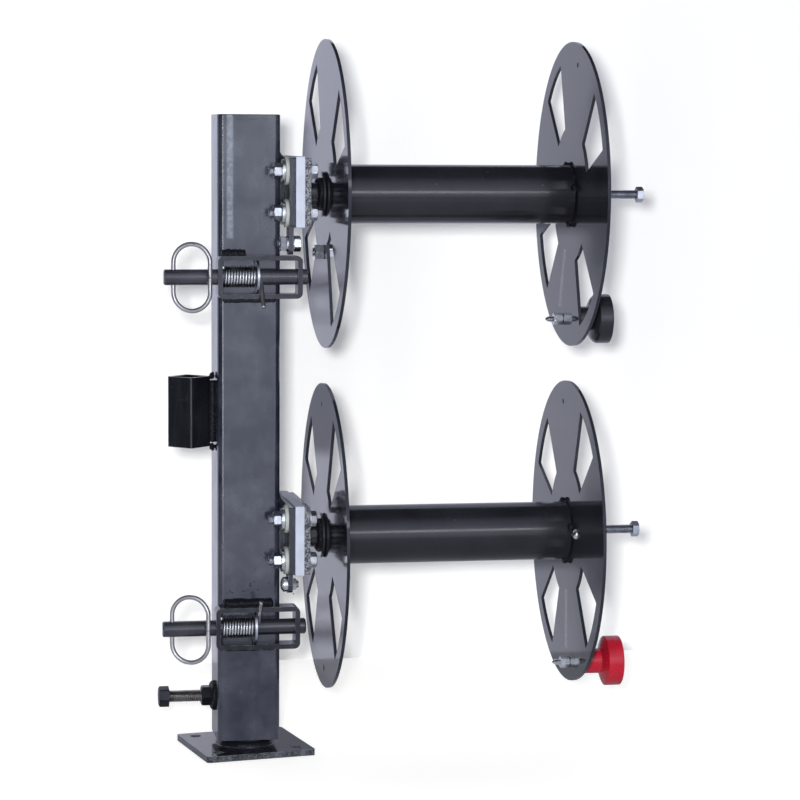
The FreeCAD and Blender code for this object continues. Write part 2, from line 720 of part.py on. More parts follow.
def knob(which):
    """Crank knob with the pocket that its bolt head turns in."""
    z = spool_z[which] + knob_place[which]
    x0 = right_flange_right + face_gap
    neck_end = x0 + knob_neck_length[which]
    rim = x0 + knob_rim_start[which]
    band_end = rim + knob_band[which]
    tip = band_end + knob_crown
    run, climb = rim - neck_end, knob_rim_r - knob_neck_r
    bulge = knob_back_bulge[which] / math.hypot(run, climb)
    back = V((neck_end + rim) / 2 - bulge * climb, 0, z + (knob_neck_r + knob_rim_r) / 2 + bulge * run)
    ball = (knob_rim_r ** 2 + knob_crown ** 2) / (2 * knob_crown)
    half = math.asin(knob_rim_r / ball) / 2
    crest = V(tip - ball + ball * math.cos(half), 0, z + ball * math.sin(half))
    start, end = V(rim, 0, z + knob_rim_r), V(band_end, 0, z + knob_rim_r)
    neck = V(neck_end, 0, z + knob_neck_r)
    corners = [V(tip, 0, z), V(x0, 0, z), V(x0, 0, z + knob_neck_r), neck]
    edges = [Part.LineSegment(a, b).toShape() for a, b in zip(corners, corners[1:])]
    edges += [Part.Arc(neck, back, start).toShape(), Part.LineSegment(start, end).toShape(),
              Part.Arc(end, crest, corners[0]).toShape()]
    body = Part.Face(Part.Wire(edges)).revolve(V(0, 0, z), V(1, 0, 0), 360)
    rims = [e for e in body.Edges if abs(e.Length - 2 * math.pi * knob_rim_r) < 0.5]
    body = body.makeFillet(knob_edge, rims)
    head_r = knob_bolt_flats / math.sqrt(3)
    head_left = x0 + knob_head_depth
    head_right = head_left + knob_head_thick
    pocket = rod_x(head_r + knob_pocket_gap, head_left - face_gap, head_right + face_gap, 0, z)
    body = body.cut(rod_x(knob_bolt_r + 2 * running, x0 - 1, head_left, 0, z))
    body = body.cut(pocket)
    angle = window_phase[which]["right"] + knob_offset
    keep("knob_" + which, turned_about_x(body, angle, spool_z[which]))

    head = hexagon_x(knob_bolt_flats, head_left, head_right, 0, z, 0)
    point = right_flange_x - knob_bolt_tip
    shank = turned_x([(point, 0), (point, knob_bolt_point_r),
                      (point + knob_bolt_point_length, knob_bolt_r),
                      (head_left + 1, knob_bolt_r), (head_left + 1, 0)], 0, z)
    bolt = head.fuse(shank).removeSplitter()
    keep("knob_bolt_" + which, turned_about_x(bolt, angle, spool_z[which]))

    flat_left = right_flange_x - knob_washer_thick
    lock_left = flat_left - knob_lock_washer_thick
    nut_left = lock_left - knob_nut_thick
    bore = knob_bolt_r + running
    nut = hexagon_x(knob_bolt_flats, nut_left, lock_left, 0, z, 0, 0)
    pieces = [nut.cut(rod_x(bore, nut_left - 1, lock_left + 1, 0, z)),
              washer_x(knob_lock_washer_r, bore, lock_left, flat_left, 0, z),
              washer_x(knob_washer_r, bore, flat_left, right_flange_x, 0, z)]
    keep("knob_nut_" + which, *[turned_about_x(p, angle, spool_z[which]) for p in pieces])


def winding_bolts():
    bolts, nuts = [], []
    head_left = winding_head_end - winding_head_thick
    inner_left = right_flange_x - winding_nut_thick
    outer_right = right_flange_right + winding_nut_thick
    bore = winding_bolt_r + running
    for z in spool_z.values():
        head = hexagon_x(winding_flats, head_left, winding_head_end, 0, z, 30)
        shank = rod_x(winding_bolt_r, inner_left - winding_tip, head_left + 1, 0, z)
        bolts.append(head.fuse(shank).removeSplitter())
        for x0, x1 in ((inner_left, right_flange_x), (right_flange_right, outer_right)):
            nut = hexagon_x(winding_flats, x0, x1, 0, z, 0, 0)
            nuts.append(nut.cut(rod_x(bore, x0 - 1, x1 + 1, 0, z)))
    return bolts, nuts


def winding(which, bolt, nuts):
    keep("winding_bolt_" + which, bolt)
    keep("winding_nuts_" + which, *nuts)


def lug_bolt():
    """Bolt put in from between the flanges, with a washer under its head and two nuts outside."""
    y, z = lug_axis("upper", lug_bolt_place, lug_bolt_angle)
    bore = lug_bolt_r + running
    spacer_left = left_flange_x - lug_spacer_thick
    nut_left = spacer_left - lug_nut_thick
    head_left = left_flange_right + flat_washer_thick
    tip = nut_left - lug_tip
    head = hexagon_x(lug_flats, head_left, head_left + lug_head_thick, y, z, lug_head_turn)
    shank = turned_x([(tip, 0), (tip, lug_bolt_r - thread_chamfer),
                      (tip + thread_chamfer, lug_bolt_r), (head_left + 1, lug_bolt_r),
                      (head_left + 1, 0)], y, z)
    keep("lug_bolt_upper", head.fuse(shank).removeSplitter())
    spacer = hexagon_x(lug_flats, spacer_left, left_flange_x, y, z, 0, 0)
    spacer = spacer.cut(rod_x(bore, spacer_left - 1, left_flange_x + 1, y, z))
    nut = hexagon_x(lug_flats, nut_left, spacer_left, y, z, 0, 0)
    nut = nut.cut(rod_x(bore, nut_left - 1, spacer_left + 1, y, z))
    washer = washer_x(lug_washer_r, bore, left_flange_right, head_left, y, z)
    keep("lug_nuts_upper", spacer, nut, washer)


def lug_button():
    """Round-headed bolt beside the lower drum, with its nut outside the flange."""
    y, z = lug_axis("lower", button_place, button_angle)
    x0, x1 = right_flange_x - button_head_thick, right_flange_x
    end = right_flange_right + button_tip
    ball = (button_head_r ** 2 + button_head_thick ** 2) / (2 * button_head_thick)
    half = math.asin(button_head_r / ball) / 2
    crest = V(x0 + ball - ball * math.cos(half), y, z + ball * math.sin(half))
    outline = [V(x1, y, z + button_head_r), V(x1, y, z + button_shank_r),
               V(end, y, z + button_shank_r), V(end, y, z), V(x0, y, z)]
    edges = [Part.LineSegment(a, b).toShape() for a, b in zip(outline, outline[1:])]
    edges.append(Part.Arc(outline[-1], crest, outline[0]).toShape())
    button = Part.Face(Part.Wire(edges)).revolve(V(0, y, z), V(1, 0, 0), 360)
    keep("lug_button_lower", button)
    nut_right = right_flange_right + button_nut_thick
    nut = hexagon_x(button_flats, right_flange_right, nut_right, y, z, 0, 0)
    bore = rod_x(button_shank_r + running, right_flange_right - 1, nut_right + 1, y, z)
    keep("lug_button_nut_lower", nut.cut(bore))


def bracket_loop(grow, y0, y1, shift, z):
    """Rounded rectangular bar around the lock, or its inside when grow is negative."""
    x0, x1 = bracket_left - grow + shift, bracket_right + grow + shift
    half = bracket_height / 2 + grow
    loop = block(x0, x1, y0, y1, z - half, z + half)
    edges = [e for e in loop.Edges if abs(e.Vertexes[0].Y - e.Vertexes[1].Y) > 1]
    return loop.makeFillet(bracket_corner + grow, edges)


def lock_bracket(which):
    z, shift, side = lock_z[which], lock_shift[which], lock_gap_side[which]
    front = -post_half - bracket_depth
    loop = bracket_loop(0.0, front, -post_half, shift, z)
    loop = loop.cut(bracket_loop(-bracket_bar, front - 1, -post_half + 1, shift, z))
    loop = loop.cut(rod_x(pin_r + loose, bracket_left + shift - 1, bracket_right + shift + 1,
                          pin_y, z))
    slot_x = cross_rod_x + shift
    half = bracket_height / 2
    slot = block(slot_x - bracket_slot / 2, slot_x + bracket_slot / 2, front - 1, -post_half + 1,
                 z + min(side * half, 0) - 1, z + max(side * half, 0) + 1)
    keep("lock_bracket_" + which, loop.cut(slot))


def lock_welds():
    """Fillet weld on top of each bracket, along the post's front face."""
    beads = []
    whole_post = block(-post_half, post_half, -post_half, post_half, post_bottom, post_top)
    for which, (x0, x1) in weld_bead_span.items():
        top = lock_z[which] + bracket_height / 2
        bead = capsule(weld_bead_r, V(x0 + weld_bead_r, -post_half, top),
                       V(x1 - weld_bead_r, -post_half, top))
        shift = lock_shift[which]
        solid = bracket_loop(0.0, -post_half - bracket_depth, -post_half, shift, lock_z[which])
        beads.append(bead.cut(whole_post).cut(solid))
    keep("lock_welds", *beads)


def lock_pin(which):
    z, shift, side = lock_z[which], lock_shift[which], lock_gap_side[which]
    x0, x1 = pin_left + shift, pin_right + shift
    c = pin_chamfer
    pin = turned_x([(x0, 0), (x0, pin_r - c), (x0 + c, pin_r), (x1 - c, pin_r),
                    (x1, pin_r - c), (x1, 0)], pin_y, z)
    lean = math.radians(cross_rod_lean)
    along = V(0, -math.sin(lean), side * math.cos(lean))
    centre = V(cross_rod_x + shift, pin_y, z)
    start = centre.sub(V(along).multiply(cross_rod_back))
    length = cross_rod_back + cross_rod_reach
    hole = Part.makeCylinder(cross_rod_r, length, start, along)
    ring_hole = rod_z(ring_wire_r + loose, z - pin_r - 1, z + pin_r + 1, ring_x + shift, pin_y)
    keep("lock_pin_" + which, pin.cut(hole).cut(ring_hole))
    rod = Part.makeCylinder(cross_rod_r, length, start, along)
    keep("cross_rod_" + which, rod.makeChamfer(cross_rod_chamfer, [rod.Edges[0], rod.Edges[2]]))


def lock_keeper(which):
    """Washer beside the cross rod, flat where it slides along the post."""
    z, shift = lock_z[which], lock_shift[which]
    x0, x1 = keeper_left + shift, keeper_right + shift
    disc = washer_x(keeper_r, pin_r + running, x0, x1, pin_y, z)
    back = block(x0 - 1, x1 + 1, -post_half - loose, 0, z - 2 * keeper_r, z + 2 * keeper_r)
    keep("lock_washer_" + which, disc.cut(back))


def helix_path(start_x, end_x, y, z):
    """Spring centre line as pairs of tangent arcs, one pair for each half turn."""
    steps = 2 * spring_turns
    pitch = (end_x - start_x) / spring_turns
    rise = pitch / (2 * math.pi)

    def point(a):
        return V(start_x + rise * a, y + spring_coil_r * math.sin(a), z + spring_coil_r * math.cos(a))

    def tangent(a):
        return V(rise, spring_coil_r * math.cos(a), -spring_coil_r * math.sin(a)).normalize()

    edges = []
    for k in range(steps):
        a0, a1 = math.pi * k, math.pi * (k + 1)
        p0, p1, t0, t1 = point(a0), point(a1), tangent(a0), tangent(a1)
        v, t = p1.sub(p0), t0.add(t1)
        spread = 2 * (1 - t0.dot(t1))
        reach = (-v.dot(t) + math.sqrt(v.dot(t) ** 2 + spread * v.dot(v))) / spread
        q0 = p0.add(V(t0).multiply(reach))
        q1 = p1.sub(V(t1).multiply(reach))
        joint = q0.add(q1).multiply(0.5)
        for a, q, b in ((p0, q0, joint), (joint, q1, p1)):
            middle = a.add(b).multiply(0.5)
            cos_half = b.sub(a).normalize().dot(q.sub(a).normalize())
            crest = middle.add(q.sub(middle).multiply(cos_half / (1 + cos_half)))
            edges.append(Part.Arc(a, crest, b).toShape())
    return Part.Wire(edges), point(0), tangent(0)


def least_gap(path):
    """Smallest gap between one turn of the spring and the next."""
    per_turn = 40
    points = path.discretize(Number=per_turn * spring_turns)
    far = per_turn // 2
    least = min(points[i].distanceToPoint(points[j])
                for i in range(len(points)) for j in range(i + far, len(points)))
    return least - 2 * spring_wire_r


def lock_spring(which):
    z, shift = lock_z[which], lock_shift[which]
    start_x = bracket_left + bracket_bar + face_gap + spring_wire_r + shift
    end_x = keeper_left - face_gap - spring_wire_r + shift
    path, start, heading = helix_path(start_x, end_x, pin_y, z)
    wire = Part.Wire(Part.Circle(start, heading, spring_wire_r).toShape())
    keep("lock_spring_" + which, Part.Solid(path.makePipeShell([wire], True, False)))
    print("spring", which, "least gap", round(least_gap(path), 2))


def pull_ring(which):
    """Long oval ring whose left side passes through the pin."""
    z, shift = lock_z[which], lock_shift[which]
    half_w = ring_width / 2
    straight = ring_height / 2 - half_w
    parts = []
    for side in (-1, 1):
        circle = Part.Circle(V(-half_w, 0, side * straight), V(0, 0, 1), ring_wire_r).toShape()
        face = Part.Face(Part.Wire(circle))
        parts.append(face.revolve(V(0, 0, side * straight), V(0, side, 0), 180))
        parts.append(rod_z(ring_wire_r, -straight, straight, side * half_w, 0))
    ring = parts[0].fuse(parts[1:]).removeSplitter()
    ring = ring.translated(V(half_w, 0, 0)).rotated(V(0, 0, 0), V(0, 0, 1), -ring_turn)
    keep("pull_ring_" + which, ring.translated(V(ring_x + shift, pin_y, z)))


def lock(which):
    lock_bracket(which)
    lock_pin(which)
    lock_keeper(which)
    lock_spring(which)
    pull_ring(which)


base()
post()
socket()
set_bolt()
for name in spool_z:
    spool(name)
    knob(name)
    lock(name)
stacks()
clamp_fasteners()
terminals()
spindles()
spindle_collars()
winding_pieces, winding_fixings = winding_bolts()
for index, name in enumerate(spool_z):
    winding(name, winding_pieces[index], winding_fixings[2 * index:2 * index + 2])
lug_bolt()
lug_button()
lock_welds()

for name, solids in nodes.items():
    shape = solids[0] if len(solids) == 1 else Part.makeCompound(solids)
    shape.exportStep("parts/" + name + ".step")
    if not shape.isValid():
        print("not valid:", name)
print(len(nodes), "nodes", sum(len(s) for s in nodes.values()), "solids")
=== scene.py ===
import json
import math
import random

import bmesh
import bpy
from mathutils import Matrix, Vector, noise


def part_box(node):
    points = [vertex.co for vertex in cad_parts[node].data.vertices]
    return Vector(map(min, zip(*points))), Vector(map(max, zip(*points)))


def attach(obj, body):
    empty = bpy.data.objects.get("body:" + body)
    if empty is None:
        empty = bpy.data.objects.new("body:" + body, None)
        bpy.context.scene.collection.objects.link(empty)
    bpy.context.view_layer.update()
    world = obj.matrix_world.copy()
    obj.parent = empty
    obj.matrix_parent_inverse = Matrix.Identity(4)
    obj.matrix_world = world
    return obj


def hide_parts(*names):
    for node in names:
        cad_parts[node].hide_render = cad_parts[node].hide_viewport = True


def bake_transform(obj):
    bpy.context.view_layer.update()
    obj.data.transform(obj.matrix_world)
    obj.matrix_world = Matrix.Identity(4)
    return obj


# Looks of a welding cable reel: a black post on a floor plate with two cable spools, their
# insulated mounts and two spring locks. Lengths are in metres, in the frame of the CAD model.

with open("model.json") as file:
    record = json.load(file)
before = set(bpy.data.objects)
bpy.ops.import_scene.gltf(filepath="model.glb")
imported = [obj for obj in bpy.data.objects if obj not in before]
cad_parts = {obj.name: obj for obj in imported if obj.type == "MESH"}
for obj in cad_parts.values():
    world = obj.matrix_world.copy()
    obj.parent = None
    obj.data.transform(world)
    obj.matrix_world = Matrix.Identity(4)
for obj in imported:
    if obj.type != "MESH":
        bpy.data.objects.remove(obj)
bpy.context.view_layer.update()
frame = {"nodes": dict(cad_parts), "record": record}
nodes = frame["nodes"]
mm = 0.001
spools = ("upper", "lower")

# Threads: pitch of each bolt and depth of a thread as a share of its pitch
coarse_pitch = 1.59 * mm
small_pitch = 1.06 * mm
set_bolt_pitch = 1.95 * mm
thread_depth = 0.36

# Fasteners: distance across flats, head thickness and shank radius of each kind, flats of the
# terminal nuts, play of nuts and washers, and turns of the clamp bolts' heads and nuts in degrees
clamp_size = (14.2 * mm, 6.5 * mm, 4.7 * mm)
lug_size = (14.2 * mm, 5.6 * mm, 4.7 * mm)
winding_size = (14.2 * mm, 7.0 * mm, 4.7 * mm)
terminal_size = (14.2 * mm, 6.5 * mm, 3.95 * mm)
knob_size = (11.0 * mm, 4.5 * mm, 3.12 * mm)
set_bolt_size = (19.0 * mm, 10.4 * mm, 6.15 * mm)
terminal_nut_flats = {"lower": 11.0 * mm, "upper": 14.2 * mm}
nut_play = 0.05 * mm
washer_play = 0.1 * mm
clamp_head_turns = {"upper": (12, 30, 18, 52), "lower": (28, 17, 33, 4)}
clamp_nut_turns = {"upper": (18, 52, 33, 17), "lower": (21, 4, 52, 30)}

# Post and its welds: ends of each bracket's bead, half length of its seam, place of the socket's
# beads
post_half = 31.75 * mm
bracket_weld = {"upper": (-31.0 * mm, -1.0 * mm), "lower": (-30.0 * mm, 27.0 * mm)}
seam_half = 27.0 * mm
socket_weld_x = -33.9 * mm
socket_weld_y = 3.6 * mm

# Rings of weld: radii at the base plate, the set bolt's nut, the thrust collars and the drums
base_weld_radius = 26.55 * mm
nut_weld_radius = 11.6 * mm
thrust_weld_radius = 13.6 * mm
tack_radius = 30.55 * mm
tack_angles = [math.radians(a) for a in (-14.0, 76.0, 166.0, 256.0)]

# Lock spring and cross rod: wire radius, turns and rod radius
spring_wire = 1.1 * mm
spring_turns = 11
rod_radius = 2.07 * mm

# Pull ring: width and height between wire centres, wire radius and its turn about the pin's hole
ring_width = 37.8 * mm
ring_height = 66.6 * mm
ring_wire = 2.3 * mm
ring_turn = math.radians(-21.0)

# Camera: where it looks, how far off it stands, how it is turned and how far it sees
look_at = Vector((0.16017, 0.0, 0.35815))
camera_distance = 2.8511
camera_yaw = math.radians(10.325)
camera_pitch = math.radians(-5.441)
camera_roll = math.radians(0.319)
focal_share = 2769.6 / 800
sensor_width = 36.0
clip_range = (0.05, 50.0)


# Shader helpers

materials = {}


def add(tree, kind, values=(), **settings):
    """Add a shader node; a value that is a socket is linked, and any other is set."""
    node = tree.nodes.new(kind)
    for key, value in settings.items():
        setattr(node, key, value)
    for key, value in dict(values).items():
        if isinstance(value, bpy.types.NodeSocket):
            tree.links.new(value, node.inputs[key])
        else:
            node.inputs[key].default_value = value
    return node


def blank_material(name):
    """Empty node tree of a new material, which is listed under its name."""
    materials[name] = bpy.data.materials.new(name)
    materials[name].use_nodes = True
    tree = materials[name].node_tree
    tree.nodes.clear()
    return tree


def ramp(tree, factor, stops):
    """Colour ramp from (position, grey or colour) stops."""
    node = add(tree, "ShaderNodeValToRGB", {"Fac": factor})
    elements = node.color_ramp.elements
    while len(elements) < len(stops):
        elements.new(0.5)
    for element, (position, colour) in zip(elements, stops):
        element.position = position
        if isinstance(colour, (int, float)):
            colour = (colour, colour, colour)
        element.color = (*colour, 1.0)
    return node.outputs["Color"]


def noise_at(tree, coords, scale, detail, roughness=0.5):
    return add(tree, "ShaderNodeTexNoise", {"Vector": coords, "Scale": scale, "Detail": detail,
                                            "Roughness": roughness}).outputs["Fac"]


def stretched(tree, coords, factors):
    return add(tree, "ShaderNodeVectorMath", {0: coords, 1: factors},
               operation="MULTIPLY").outputs[0]


def remap(tree, value, low, high, out_low, out_high):
    node = add(tree, "ShaderNodeMapRange", {"Value": value, "From Min": low, "From Max": high,
                                            "To Min": out_low, "To Max": out_high})
    return node.outputs["Result"]


def compute(tree, operation, a, b=0.0):
    return add(tree, "ShaderNodeMath", {0: a, 1: b}, operation=operation).outputs[0]


def multiply(tree, a, b):
    return compute(tree, "MULTIPLY", a, b)


def mix_colours(tree, factor, a, b):
    node = add(tree, "ShaderNodeMix", data_type="RGBA")
    for key, value in ((0, factor), (6, a), (7, b)):
        if isinstance(value, bpy.types.NodeSocket):
            tree.links.new(value, node.inputs[key])
        else:
            node.inputs[key].default_value = value if key == 0 else (*value, 1.0)
    return node.outputs[2]


def edge_mask(tree, radius):
    """Near 1 along sharp edges of the surface and 0 elsewhere, and the rounded normal."""
    bevel = add(tree, "ShaderNodeBevel", {"Radius": radius}, samples=4)
    geometry = add(tree, "ShaderNodeNewGeometry")
    dot = add(tree, "ShaderNodeVectorMath", {0: bevel.outputs[0], 1: geometry.outputs["Normal"]},
              operation="DOT_PRODUCT")
    return remap(tree, dot.outputs["Value"], 0.97, 0.80, 0.0, 1.0), bevel.outputs[0]


def bump(tree, height, distance, strength, normal):
    return add(tree, "ShaderNodeBump", {"Strength": strength, "Distance": distance * mm,
                                        "Height": height, "Normal": normal}).outputs[0]


def finish_material(tree, tone, gloss, normal, level=0.5, metallic=0.0):
    shader = add(tree, "ShaderNodeBsdfPrincipled", {
        "Base Color": tone, "Roughness": gloss, "Normal": normal, "Specular IOR Level": level,
        "Metallic": metallic})
    add(tree, "ShaderNodeOutputMaterial", {0: shader.outputs[0]})


def scratches(tree, coords, scale, amount):
    """Sparse hair-thin curved lines."""
    line = ramp(tree, noise_at(tree, coords, scale, 1.0, 0.4),
                ((0.495, 0.0), (0.499, 1.0), (0.501, 1.0), (0.505, 0.0)))
    where = ramp(tree, noise_at(tree, coords, scale * 0.6, 2.0), ((0.54, 0.0), (0.62, 1.0)))
    return multiply(tree, multiply(tree, line, where), amount)


def stroke(tree, coords, facing, across, along, start, end, half_width):
    """Mask of a straight band of painted reflection from start to end, both given as (across,
    along) places, on the faces that look toward the negative side of the facing axis."""
    normal = add(tree, "ShaderNodeTexCoord").outputs["Normal"]
    outward = add(tree, "ShaderNodeSeparateXYZ", {0: normal}).outputs[facing]
    on_face = remap(tree, outward, -0.9, -0.5, 1.0, 0.0)
    parts = add(tree, "ShaderNodeSeparateXYZ", {0: coords})
    place = parts.outputs[along]
    centre = remap(tree, place, start[1], end[1], start[0], end[0])
    off = compute(tree, "ABSOLUTE", compute(tree, "SUBTRACT", parts.outputs[across], centre))
    wide = remap(tree, off, 0.6 * half_width, 1.2 * half_width, 1.0, 0.0)
    fade = 1.5 * mm
    begun = remap(tree, place, start[1] - fade, start[1] + fade, 0.0, 1.0)
    ended = remap(tree, place, end[1] - fade, end[1] + fade, 1.0, 0.0)
    return multiply(tree, multiply(tree, wide, on_face), multiply(tree, begun, ended))


def cut_faces(tree, plain_axis):
    """1 on faces that do not look along the plain axis, 0 on the faces that do."""
    normal = add(tree, "ShaderNodeTexCoord").outputs["Normal"]
    part = add(tree, "ShaderNodeSeparateXYZ", {0: normal}).outputs[plain_axis]
    return remap(tree, compute(tree, "ABSOLUTE", part), 0.5, 0.7, 1.0, 0.0)


def paint(name, colour, rough, clouds, level=0.5, streaks=0.25, marks=0.03, specks=0.4,
          peel=0.02, wave=0.05, edge=0.6 * mm, worn=(0.12, 0.12, 0.13), cloud_size=11.0,
          painted_reflections=(), cut=None, cut_amount=0.8):
    """Black powder paint: clouds, faint streaks and scratches, dust specks, orange peel and
    edges where the paint is thin. The strokes given are pale bands of painted reflection; cut
    names the axis whose faces stay plain while the others show grainy cut edges."""
    pale = (0.13, 0.14, 0.17)
    tree = blank_material(name)
    coords = add(tree, "ShaderNodeTexCoord").outputs["Object"]
    upright = stretched(tree, coords, (1.0, 1.0, 0.10))
    mask, rounded = edge_mask(tree, edge)
    broad = noise_at(tree, coords, cloud_size, 4.0, 0.6)
    waves = noise_at(tree, coords, 34.0, 3.0, 0.5)
    fine = noise_at(tree, coords, 480.0, 2.0, 0.6)
    cloud = multiply(tree, ramp(tree, broad, ((0.38, 0.0), (0.70, 1.0))), clouds)
    tone = mix_colours(tree, cloud, colour, pale)
    streak = multiply(tree, ramp(tree, noise_at(tree, upright, 120.0, 3.0, 0.6),
                                 ((0.50, 0.0), (0.68, 1.0))), streaks)
    tone = mix_colours(tree, streak, tone, pale)
    speck = multiply(tree, ramp(tree, noise_at(tree, coords, 330.0, 5.0, 0.7),
                                ((0.67, 0.0), (0.73, 1.0))), specks)
    tone = mix_colours(tree, speck, tone, (0.24, 0.25, 0.28))
    lines = scratches(tree, stretched(tree, coords, (1.0, 1.0, 0.4)), 40.0, marks)
    tone = mix_colours(tree, lines, tone, (0.26, 0.27, 0.30))
    thin = ramp(tree, noise_at(tree, coords, 150.0, 3.0), ((0.44, 0.0), (0.60, 1.0)))
    tone = mix_colours(tree, multiply(tree, mask, thin), tone, worn)
    patchy = ramp(tree, noise_at(tree, coords, 260.0, 3.0, 0.7), ((0.36, 0.45), (0.60, 1.0)))
    # Pale bands of painted reflection, mixed in where each stroke lies
    for facing, across, along, start, end, half_width, strength, tint in painted_reflections:
        reflection_band = stroke(tree, coords, facing, across, along, start, end, half_width)
        tone = mix_colours(tree, multiply(tree, multiply(tree, reflection_band, patchy), strength), tone,
                           tint)
    if cut is not None:
        grain = ramp(tree, noise_at(tree, coords, 620.0, 3.0, 0.7), ((0.47, 0.0), (0.56, 1.0)))
        grain = multiply(tree, multiply(tree, grain, cut_faces(tree, cut)), cut_amount)
        tone = mix_colours(tree, grain, tone, (0.34, 0.35, 0.37))
    gloss = remap(tree, broad, 0.3, 0.7, rough * 0.75, rough * 1.3)
    normal = bump(tree, fine, peel, 0.35, rounded)
    normal = bump(tree, waves, wave, 0.6, normal)
    finish_material(tree, tone, gloss, normal, level)


def metal(name, colour, rough, dark=(0.20, 0.21, 0.24), mottle=0.5):
    """Plated or plain steel with mottling, fine tool marks and brighter worn edges."""
    grain, height, edge = 1800.0, 0.02, 0.25 * mm
    tree = blank_material(name)
    coords = add(tree, "ShaderNodeTexCoord").outputs["Object"]
    mask, rounded = edge_mask(tree, edge)
    broad = noise_at(tree, coords, 110.0, 4.0, 0.6)
    fine = noise_at(tree, coords, grain, 3.0, 0.6)
    tone = mix_colours(tree, multiply(tree, ramp(tree, broad, ((0.40, 0.0), (0.70, 1.0))), mottle),
                       colour, dark)
    lines = scratches(tree, coords, 160.0, 0.6)
    tone = mix_colours(tree, lines, tone, dark)
    bright = tuple(min(1.0, 1.25 * c) for c in colour)
    tone = mix_colours(tree, multiply(tree, mask, 0.5), tone, bright)
    gloss = remap(tree, broad, 0.3, 0.7, rough * 0.8, rough * 1.35)
    normal = bump(tree, fine, height, 0.5, rounded)
    finish_material(tree, tone, gloss, normal, metallic=1.0)


def plastic(name, colour, rough, height=0.03, level=0.5, speck_colour=None):
    """Moulded or pressed plastic with faint mottling, handling marks and paler edges."""
    mottle, edge = 0.06, 0.5 * mm
    tree = blank_material(name)
    coords = add(tree, "ShaderNodeTexCoord").outputs["Object"]
    mask, rounded = edge_mask(tree, edge)
    broad = noise_at(tree, coords, 60.0, 4.0, 0.6)
    fine = noise_at(tree, coords, 900.0, 3.0, 0.6)
    darker = tuple(c * (1 - 3 * mottle) for c in colour)
    tone = mix_colours(tree, ramp(tree, broad, ((0.35, 0.0), (0.75, 1.0))), colour, darker)
    if speck_colour:
        speck = ramp(tree, noise_at(tree, coords, 420.0, 4.0, 0.7), ((0.62, 0.0), (0.70, 0.5)))
        tone = mix_colours(tree, speck, tone, speck_colour)
    paler = tuple(min(1.0, c * 1.2 + 0.02) for c in colour)
    tone = mix_colours(tree, multiply(tree, mask, 0.6), tone, paler)
    lines = scratches(tree, coords, 90.0, 0.12)
    tone = mix_colours(tree, lines, tone, paler)
    gloss = remap(tree, fine, 0.3, 0.7, rough * 0.85, rough * 1.2)
    normal = bump(tree, fine, height, 0.4, rounded)
    finish_material(tree, tone, gloss, normal, level)


# Pale bands of painted reflection as (axis the face looks back along, axis across, axis along,
# start, end, half width, strength, tint): a band beside the post's left edge and a stripe on each
# right flange. All flanges share one finish.
post_painted_reflections = ((1, 0, 2, (-19.5 * mm, 0.526), (-19.5 * mm, 0.655), 3.4 * mm, 0.55,
                (0.20, 0.22, 0.26)),)
stripe = (6.0 * mm, 0.8, (0.16, 0.16, 0.19))
flange_painted_reflections = ((0, 1, 2, (39.9 * mm, 0.4506), (18.4 * mm, 0.5124), *stripe),
                 (0, 1, 2, (-5.7 * mm, 0.0945), (-2.8 * mm, 0.1576), *stripe))
flange_finish = {"colour": (0.010, 0.011, 0.016), "rough": 0.08, "level": 0.20, "clouds": 0.10,
                 "streaks": 0.04, "specks": 0.2, "peel": 0.006, "wave": 0.012, "edge": 0.4 * mm,
                 "worn": (0.05, 0.05, 0.055)}

# The post's front carries a pale band of painted reflection near its left edge
paint("post_paint", (0.005, 0.007, 0.015), 0.17, level=0.95, clouds=0.20, streaks=0.04,
      cloud_size=26.0, painted_reflections=post_painted_reflections)
paint("plate_paint", (0.011, 0.012, 0.017), 0.20, level=0.45, specks=0.6, clouds=0.15, peel=0.04,
      wave=0.08, worn=(0.34, 0.34, 0.37), edge=0.8 * mm)
paint("cut_plate", (0.011, 0.012, 0.017), 0.24, level=0.45, specks=0.6, clouds=0.15, peel=0.05,
      wave=0.08, worn=(0.34, 0.34, 0.37), edge=0.8 * mm, cut=0, cut_amount=0.5)
paint("base_paint", (0.007, 0.008, 0.010), 0.10, level=0.40, specks=0.5, clouds=0.12,
      worn=(0.30, 0.30, 0.32), edge=0.8 * mm, cut=2, cut_amount=0.15)
paint("socket_paint", (0.004, 0.004, 0.006), 0.15, clouds=0.05, streaks=0.03)
# The right flanges carry pale stripes of painted reflection; the left flanges do not
paint("spool_paint", painted_reflections=flange_painted_reflections, **flange_finish)
paint("left_paint", **flange_finish)
paint("drum_paint", (0.005, 0.005, 0.007), 0.17, clouds=0.05, streaks=0.0, marks=0.0, wave=0.04)
paint("spindle_paint", (0.006, 0.006, 0.008), 0.12, level=0.9, clouds=0.05, streaks=0.0,
      marks=0.0)
paint("lock_paint", (0.009, 0.010, 0.014), 0.20, level=0.32, clouds=0.15, streaks=0.05,
      worn=(0.22, 0.22, 0.24))
paint("pin_paint", (0.010, 0.010, 0.014), 0.15, level=0.75, clouds=0.15, streaks=0.0,
      worn=(0.22, 0.22, 0.24))
paint("weld_paint", (0.004, 0.004, 0.006), 0.22, level=0.22, clouds=0.02, streaks=0.0, marks=0.0,
      specks=0.1, peel=0.05, worn=(0.03, 0.03, 0.03))
metal("zinc", (0.80, 0.83, 0.84), 0.24)
metal("thread_zinc", (0.58, 0.61, 0.65), 0.33, mottle=0.6)
metal("spring_steel", (0.84, 0.85, 0.84), 0.24, mottle=0.25)
metal("ring_steel", (0.62, 0.61, 0.60), 0.34, dark=(0.36, 0.34, 0.33), mottle=0.4)
metal("black_bolt", (0.038, 0.039, 0.044), 0.30, dark=(0.02, 0.02, 0.02))
metal("oiled_thread", (0.35, 0.33, 0.30), 0.34, dark=(0.13, 0.12, 0.11), mottle=0.7)
